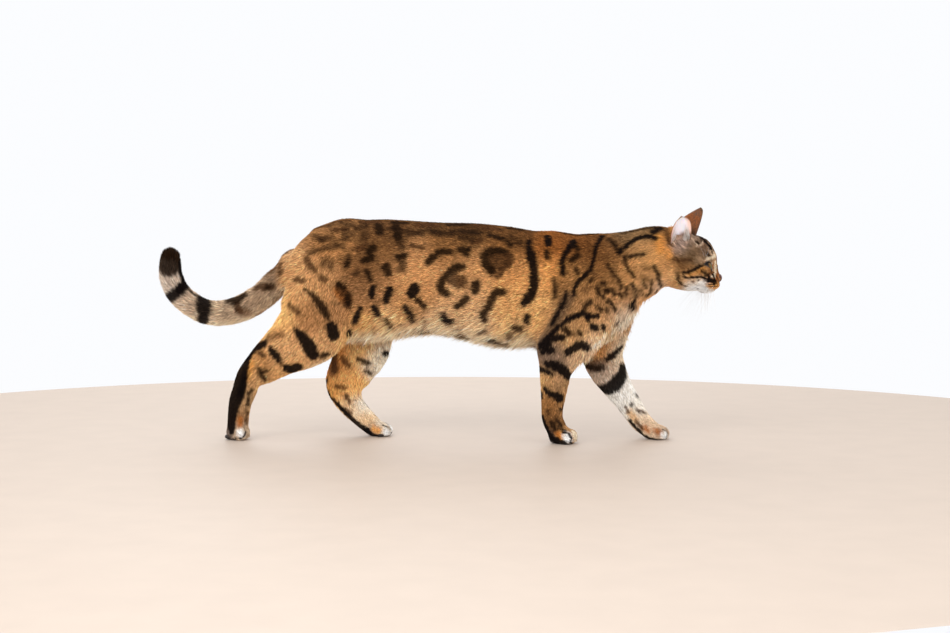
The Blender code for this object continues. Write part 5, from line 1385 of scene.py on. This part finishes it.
def strands(name, paths, radii, colours, look):
    """Three-sided rods along paths (count, steps, 3), thinning evenly to a point."""
    count, steps, _ = paths.shape
    along = unit(np.gradient(paths, axis=1))
    aside = unit(np.cross(along, [0.31, 0.52, 0.79]))
    other = np.cross(along, aside)
    turn = np.arange(3) * 2 * math.pi / 3
    thin = (1 - np.arange(steps) / steps) ** 0.8
    radius = radii[:, None] * thin[None, :]
    rings = (paths[:, :, None, :] + radius[..., None, None] * (
        np.cos(turn)[:, None] * aside[:, :, None, :] + np.sin(turn)[:, None] * other[:, :, None, :]))
    ends = paths[:, -1] + along[:, -1] * (np.linalg.norm(paths[:, -1] - paths[:, -2], axis=1) * 0.5)[:, None]
    points = np.concatenate([rings.reshape(count, -1, 3), ends[:, None]], axis=1)
    local = []
    for k in range(steps - 1):
        for s in range(3):
            a, b = k * 3 + s, k * 3 + (s + 1) % 3
            local += [(a, b, b + 3), (a, b + 3, a + 3)]
    last = (steps - 1) * 3
    local += [(last + s, last + (s + 1) % 3, steps * 3) for s in range(3)] + [(2, 1, 0)]
    faces = (np.arange(count)[:, None, None] * (steps * 3 + 1) + np.array(local)).reshape(-1, 3)
    mesh = mesh_from(name, points.reshape(-1, 3), faces)
    return dressed(name, mesh, np.repeat(colours, steps * 3 + 1, axis=0), look)


def ear_hairs(rng, look):
    """Long pale hairs from each ear's front edge and base, crossing its hollow."""
    paths, colours = [], []
    for name in EARS:
        count = EAR_HAIRS
        t = rng.uniform(-0.02, 0.42, count)
        edge = np.where(rng.random(count) < 0.72, 1.0, -1.0) * (1 if name == "ear_right" else -1)
        u = edge * rng.uniform(0.72, 0.97, count)
        here, front, up, _ = ear_sheet(name, t, u)
        middle, _, _, _ = ear_sheet(name, t + 0.22, u * 0.1)
        inward = unit(middle - here)
        way = inward * 0.8 + up * rng.uniform(0.5, 1.3, (count, 1)) + front * rng.uniform(0.15, 0.55, (count, 1))
        way = unit(way)
        length = rng.uniform(0.008, 0.016, count)
        run = np.linspace(0, 1, 4)
        path = here[:, None] + way[:, None] * (length[:, None] * run)[..., None]
        path = path + up * ((length[:, None] * run**2) * 0.25)[..., None]
        paths.append(path)
        pale = rng.random((count, 1)) < 0.7
        colours.append(np.where(pale, (0.86, 0.82, 0.78), (0.46, 0.33, 0.24)))
    paths = np.concatenate(paths)
    return strands("ear_hairs", paths, np.full(len(paths), 0.00016), np.concatenate(colours), look)


# ---------------------------------------------------------------- eyes, nose, whiskers and pads
def ball(rings, segments):
    """The points and faces of a ball of radius 1 whose pole is +X, with its rings closer together near it."""
    polar = math.pi * (np.arange(1, rings) / rings) ** 1.25
    turn = np.arange(segments) * 2 * math.pi / segments
    grid = np.stack([np.cos(polar)[:, None] * np.ones(segments), np.sin(polar)[:, None] * np.cos(turn),
                     np.sin(polar)[:, None] * np.sin(turn)], axis=-1)
    points = np.vstack([grid.reshape(-1, 3), [[1, 0, 0], [-1, 0, 0]]])
    index = np.arange((rings - 1) * segments).reshape(rings - 1, segments)
    step = np.roll(index, -1, axis=1)
    a = np.stack([index[:-1], index[1:], step[1:]], axis=-1).reshape(-1, 3)
    b = np.stack([index[:-1], step[1:], step[:-1]], axis=-1).reshape(-1, 3)
    first, last = len(points) - 2, len(points) - 1
    top = np.stack([np.full(segments, first), index[0], step[0]], axis=-1)
    end = np.stack([index[-1], np.full(segments, last), step[-1]], axis=-1)
    return points, np.vstack([a, b, top, end])


def make_eye(side, name, look):
    """A ball with a raised cornea. Its iris is amber round a green middle, with an upright slit of a pupil."""
    gaze = unit(way_of((0.92, 0.38, 0.10), side))
    rise = unit(np.array([0, 0, 1.0]) - gaze * gaze[2])
    aside = np.cross(rise, gaze)
    points, faces = ball(60, 72)
    polar = np.arccos(np.clip(points[:, 0], -1, 1))
    radius = EYE_RADIUS * (1 + 0.05 * np.exp(-((polar / 0.62) ** 4)))
    out = np.degrees(polar)
    across, up = out * unit(points[:, 1:]).T
    turn = np.arctan2(up, across)
    slit = np.abs(across) - PUPIL[0] * np.sqrt(np.clip(1 - (up / PUPIL[1]) ** 2, 0, 1))
    pupil = smoothstep(1.0, -1.0, slit) * (np.abs(up) < PUPIL[1])
    streak = 1 + 0.10 * np.sin(31 * turn) + 0.08 * np.sin(53 * turn + 1) + 0.06 * np.sin(17 * turn + 2)
    green, amber = np.array([0.12, 0.095, 0.022]), (0.12, 0.055, 0.012)
    colours = towards(green, amber, smoothstep(14, 38, out)) * streak[:, None]
    colours = towards(colours, (0.008, 0.005, 0.004), smoothstep(37, 46, out))          # the dark ring round it
    colours = towards(colours, (0.004, 0.003, 0.003), pupil)
    axes = np.stack([gaze, aside, rise])
    mesh = mesh_from(name, turned([EYE], side)[0] + (points * radius[:, None]) @ axes, faces)
    return dressed(name, mesh, colours, look)


def make_lid_rim(side, name, look):
    """The dark bare edge of the lids, a thin eight-sided roll round the opening that runs on to the tear corner."""
    centre, facing, outwards, rise = eye_axes(side)
    across = LID["half"] * np.cos(np.linspace(0, math.pi, 40))
    upper, lower = lid_edge(across)
    corner = np.array([[-LID["half"] - 0.0016, -LID["slant"] * LID["half"] - 0.0012]])
    flat = np.vstack([np.column_stack([across, upper])[:-1], corner, np.column_stack([across, lower])[:0:-1]])
    depth = np.sqrt(np.clip(EYE_RADIUS**2 - (flat**2).sum(axis=1), 1e-6, None))
    path = facing * depth[:, None] + outwards * flat[:, :1] + rise * flat[:, 1:]
    path = centre + unit(path) * (EYE_RADIUS + 0.0006)
    along = unit(np.roll(path, -1, axis=0) - np.roll(path, 1, axis=0))
    out = unit(path - path.mean(axis=0))
    out = unit(out - along * (out * along).sum(axis=1)[:, None])
    other = np.cross(along, out)
    sides = 8
    turn = np.arange(sides) * 2 * math.pi / sides
    rings = path[:, None] + 0.0008 * (np.cos(turn)[:, None] * out[:, None] + np.sin(turn)[:, None] * other[:, None])
    index = np.arange(len(path) * sides).reshape(len(path), sides)
    over, step = np.roll(index, -1, axis=0), np.roll(index, -1, axis=1)
    faces = np.stack([index, over, np.roll(over, -1, axis=1), step], axis=-1).reshape(-1, 4)
    mesh = mesh_from(name, rings.reshape(-1, 3), faces)
    face_outwards(mesh)
    return dressed(name, mesh, np.tile((0.008, 0.005, 0.004), (len(path) * sides, 1)), look)


def make_nose(look):
    """The nose leather: an egg, wider above, with comma nostrils and a groove down the middle."""
    points, faces = ball(56, 72)
    local = points * NOSE_SIZE
    local[:, 1] *= 0.72 + 0.28 * points[:, 2]
    radial = unit(points / NOSE_SIZE)
    y, z = np.abs(local[:, 1]), local[:, 2]
    forward = smoothstep(-0.2, 0.3, points[:, 0])
    hole = np.exp(-(((y - 0.0036) / 0.0013) ** 2 + ((z + 0.0008) / 0.0012) ** 2)) * forward
    comma = np.exp(-(((y - 0.0056) / 0.0013) ** 2 + ((z - 0.0002) / 0.0008) ** 2)) * forward
    groove = np.exp(-((y / 0.0005) ** 2)) * smoothstep(0.0010, -0.0010, z) * forward
    local -= radial * (0.0022 * hole + 0.0012 * comma + 0.0006 * groove)[:, None]
    tip = math.radians(14)
    turn = np.array([[math.cos(tip), 0, math.sin(tip)], [0, 1, 0], [-math.sin(tip), 0, math.cos(tip)]])
    edge = (smoothstep(0.0052, 0.0070, y) + smoothstep(0.0040, 0.0056, z) * 0.7).clip(0, 1) * 0.7
    colours = towards(np.array([0.090, 0.024, 0.015]), (0.030, 0.012, 0.009), edge)
    # painted shade in the nostrils and down the middle groove
    colours = towards(colours, (0.010, 0.005, 0.004), np.clip(1.15 * hole + 0.9 * comma + 0.35 * groove, 0, 1))
    return dressed("nose_leather", mesh_from("nose_leather", turned(local @ turn.T + NOSE), faces), colours, look)


WHISKER_ROWS = [(0.3775, 0.2165, 4), (0.3790, 0.2130, 5), (0.3770, 0.2095, 4)]     # x and z of the foremost, count


def make_whiskers(skin, look):
    """White whiskers in rows on each side of the muzzle, drooping under their weight, and hairs at the brow."""
    rng = np.random.default_rng(SEED + 5)
    places = skin.points[skin.points[:, 0] > 0.33]
    paths, radii = [], []
    run = np.linspace(0, 1, 9)

    def grow(spot, side, straight, bend, radius):
        """One hair from the skin nearest the spot: its way times its run, and its bend times the run squared."""
        root = places[((places - turned([spot], side)[0]) ** 2).sum(axis=1).argmin()]
        local = straight * run[:, None] + bend * (run**2)[:, None]
        paths.append(root + turned(local, side) - turned([[0, 0, 0]], side)[0])
        radii.append(radius)

    for side in (RIGHT, LEFT):
        for row, (x, z, count) in enumerate(WHISKER_ROWS):
            for k in range(count):
                way = unit(np.array([-0.15 - 0.55 * k / count, 0.75, 0.05 - 0.30 * row]) + rng.normal(0, 0.07, 3))
                length = rng.uniform(0.026, 0.042)
                droop = np.array([-0.35, -0.15, -1.0]) * rng.uniform(0.45, 0.85)
                grow((x - 0.0036 * k, 0.0135, z - 0.0004 * k), side, way * length, droop * length, 0.00024)
        for k in range(5):                      # the hindmost hang almost straight down
            way = np.array([rng.normal(0.02, 0.06), 0.30, -1.0]) * rng.uniform(0.026, 0.036)
            grow((0.3665 + 0.0028 * k, 0.0125, 0.2085), side, way, np.array([0, -0.0054, 0]), 0.00032)
        for k in range(3):                      # the hairs at the brow
            way = np.array([0.45 - 0.3 * k, 0.40 + 0.15 * k, 0.75]) * rng.uniform(0.014, 0.020)
            grow((0.3665 - 0.002 * k, 0.014, 0.2530), side, way, np.array([-0.005, 0.002, 0]), 0.00013)
    colours = np.tile((0.84, 0.83, 0.82), (len(paths), 1))
    return strands("whiskers", np.array(paths), np.array(radii), colours, look)


def make_pads(look):
    """A broad pad and four toe pads under each paw, each a flat ball."""
    points, faces = ball(14, 20)
    pads = []
    for front, middle, width in TOE_CLEFTS:
        for share, inset in ((-0.375, 0.0135), (-0.125, 0.0105), (0.125, 0.0105), (0.375, 0.0135)):
            spot = (front - inset, middle + share * width * 0.86, 0.0031)
            pads.append(spot + points * (0.0050, 0.0036, 0.0030))
        pads.append((front - 0.0235, middle, 0.0041) + points * (0.0075, 0.0090, 0.0040))
    whole = np.array(pads)
    whole[..., 2] = np.maximum(whole[..., 2], FLOOR_GAP)
    index = (np.arange(len(pads))[:, None, None] * len(points) + faces).reshape(-1, 3)
    mesh = mesh_from("paw_pads", whole.reshape(-1, 3), index)
    return dressed("paw_pads", mesh, np.tile((0.018, 0.012, 0.010), (len(pads) * len(points), 1)), look)


# ---------------------------------------------------------------- the whole
def build_cat():
    """Makes every piece, hides the imported parts it stands in for, gives it its material, and has it ride on the
    root.
    """
    coat_look = material("coat", 0.60, grain=0.12, grain_size=0.0010, specular=0.04)
    skin_look = material("skin", 0.70, grain=0.12, grain_size=0.0012, bump=0.0004, specular=0.05)
    ear_look = material("ear_skin", 0.60, grain=0.04, grain_size=0.0016, bump=0.0002, specular=0.25, subsurface=0.25)
    eye_look = material("eye", 0.20, grain=0.05, grain_size=0.0006, specular=0.08, coat=0.10)
    rim_look = material("lid_rim", 0.30, grain=0.10, grain_size=0.0008, specular=0.4)
    nose_look = material("nose_leather", 0.42, grain=0.18, grain_size=0.0007, bump=0.00025, specular=0.45)
    hair_look = material("whisker", 0.35, grain=0.02, grain_size=0.002, specular=0.5)
    pad_look = material("pads", 0.55, grain=0.2, grain_size=0.0009, bump=0.0003, specular=0.35)

    skin, mesh = make_skin()
    strokes = strokes_of(skin)
    ground = ground_colours(skin)
    # the skin is painted 15 % darker than the coat's colours: painted shade where it shows between the tufts
    body = dressed("skin", mesh, 0.85 * marked(ground, skin.points, strokes, 0.0), skin_look)
    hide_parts(*[node for node in FLESH if node not in OWN_PIECES])

    rng = np.random.default_rng(SEED + 2)
    coats = lay_coat(skin, mesh, ground, strokes)
    rows = [ear_coat(name, rng) for name in EARS]
    coats.append(tufts("coat_ears", *[np.concatenate(both) for both in zip(*rows)]))
    for piece in coats:
        piece.data.materials.append(coat_look)
    pieces = [body, *coats]
    for name in EARS:
        ear = make_ear(name, ear_look)
        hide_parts(name)
        pieces.append(ear)
    pieces.append(ear_hairs(rng, hair_look))
    for word, side in SIDES.items():
        eye = make_eye(side, "eyeball_" + word, eye_look)
        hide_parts("eye_" + word)
        pieces.append(eye)
        pieces.append(make_lid_rim(side, "lid_rim_" + word, rim_look))
    nose = make_nose(nose_look)
    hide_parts("nose")
    pieces.append(nose)
    pieces.append(make_whiskers(skin, hair_look))
    pieces.append(make_pads(pad_look))
    for piece in pieces:
        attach(piece, "root")


def build_stage():
    """The floor, the light and the camera."""
    floor_look = material("floor", 0.55, grain=0.02, grain_size=0.05, specular=0.3, colour=(0.57, 0.47, 0.39))
    turn = np.arange(FLOOR_CORNERS) * 2 * math.pi / FLOOR_CORNERS
    rim = np.column_stack([np.cos(turn), np.sin(turn), np.zeros(FLOOR_CORNERS)]) * FLOOR_RADIUS - [0, 0, FLOOR_GAP]
    mesh = mesh_from("floor", rim, np.arange(FLOOR_CORNERS)[None, :])
    mesh.materials.append(floor_look)
    new_object("floor", mesh)

    world = bpy.data.worlds.new("studio")
    bpy.context.scene.world = world
    world.use_nodes = True
    sky = world.node_tree.nodes["Background"]
    sky.inputs["Color"].default_value = (0.97, 0.98, 1.0, 1)
    sky.inputs["Strength"].default_value = 1.0
    for name, place, target, size, watts in LAMPS:
        light = bpy.data.lights.new(name, "AREA")
        light.energy, light.size = watts, size
        lamp = bpy.data.objects.new(name, light)
        bpy.context.scene.collection.objects.link(lamp)
        x, y, z = np.array(target) - np.array(place)
        lamp.location = place
        lamp.rotation_euler = (math.atan2(math.hypot(x, y), -z), 0, math.atan2(-x, y))

    camera = bpy.data.cameras.new("camera")
    camera.lens, camera.sensor_width = CAMERA_LENS, FILM
    holder = bpy.data.objects.new("camera", camera)
    bpy.context.scene.collection.objects.link(holder)
    holder.location = STATION
    holder.rotation_euler = (math.radians(90 - CAMERA_TILT), 0, math.radians(CAMERA_TURN))
    bpy.context.scene.camera = holder
    bpy.context.scene.view_settings.view_transform = "Standard"


build_cat()
build_stage()
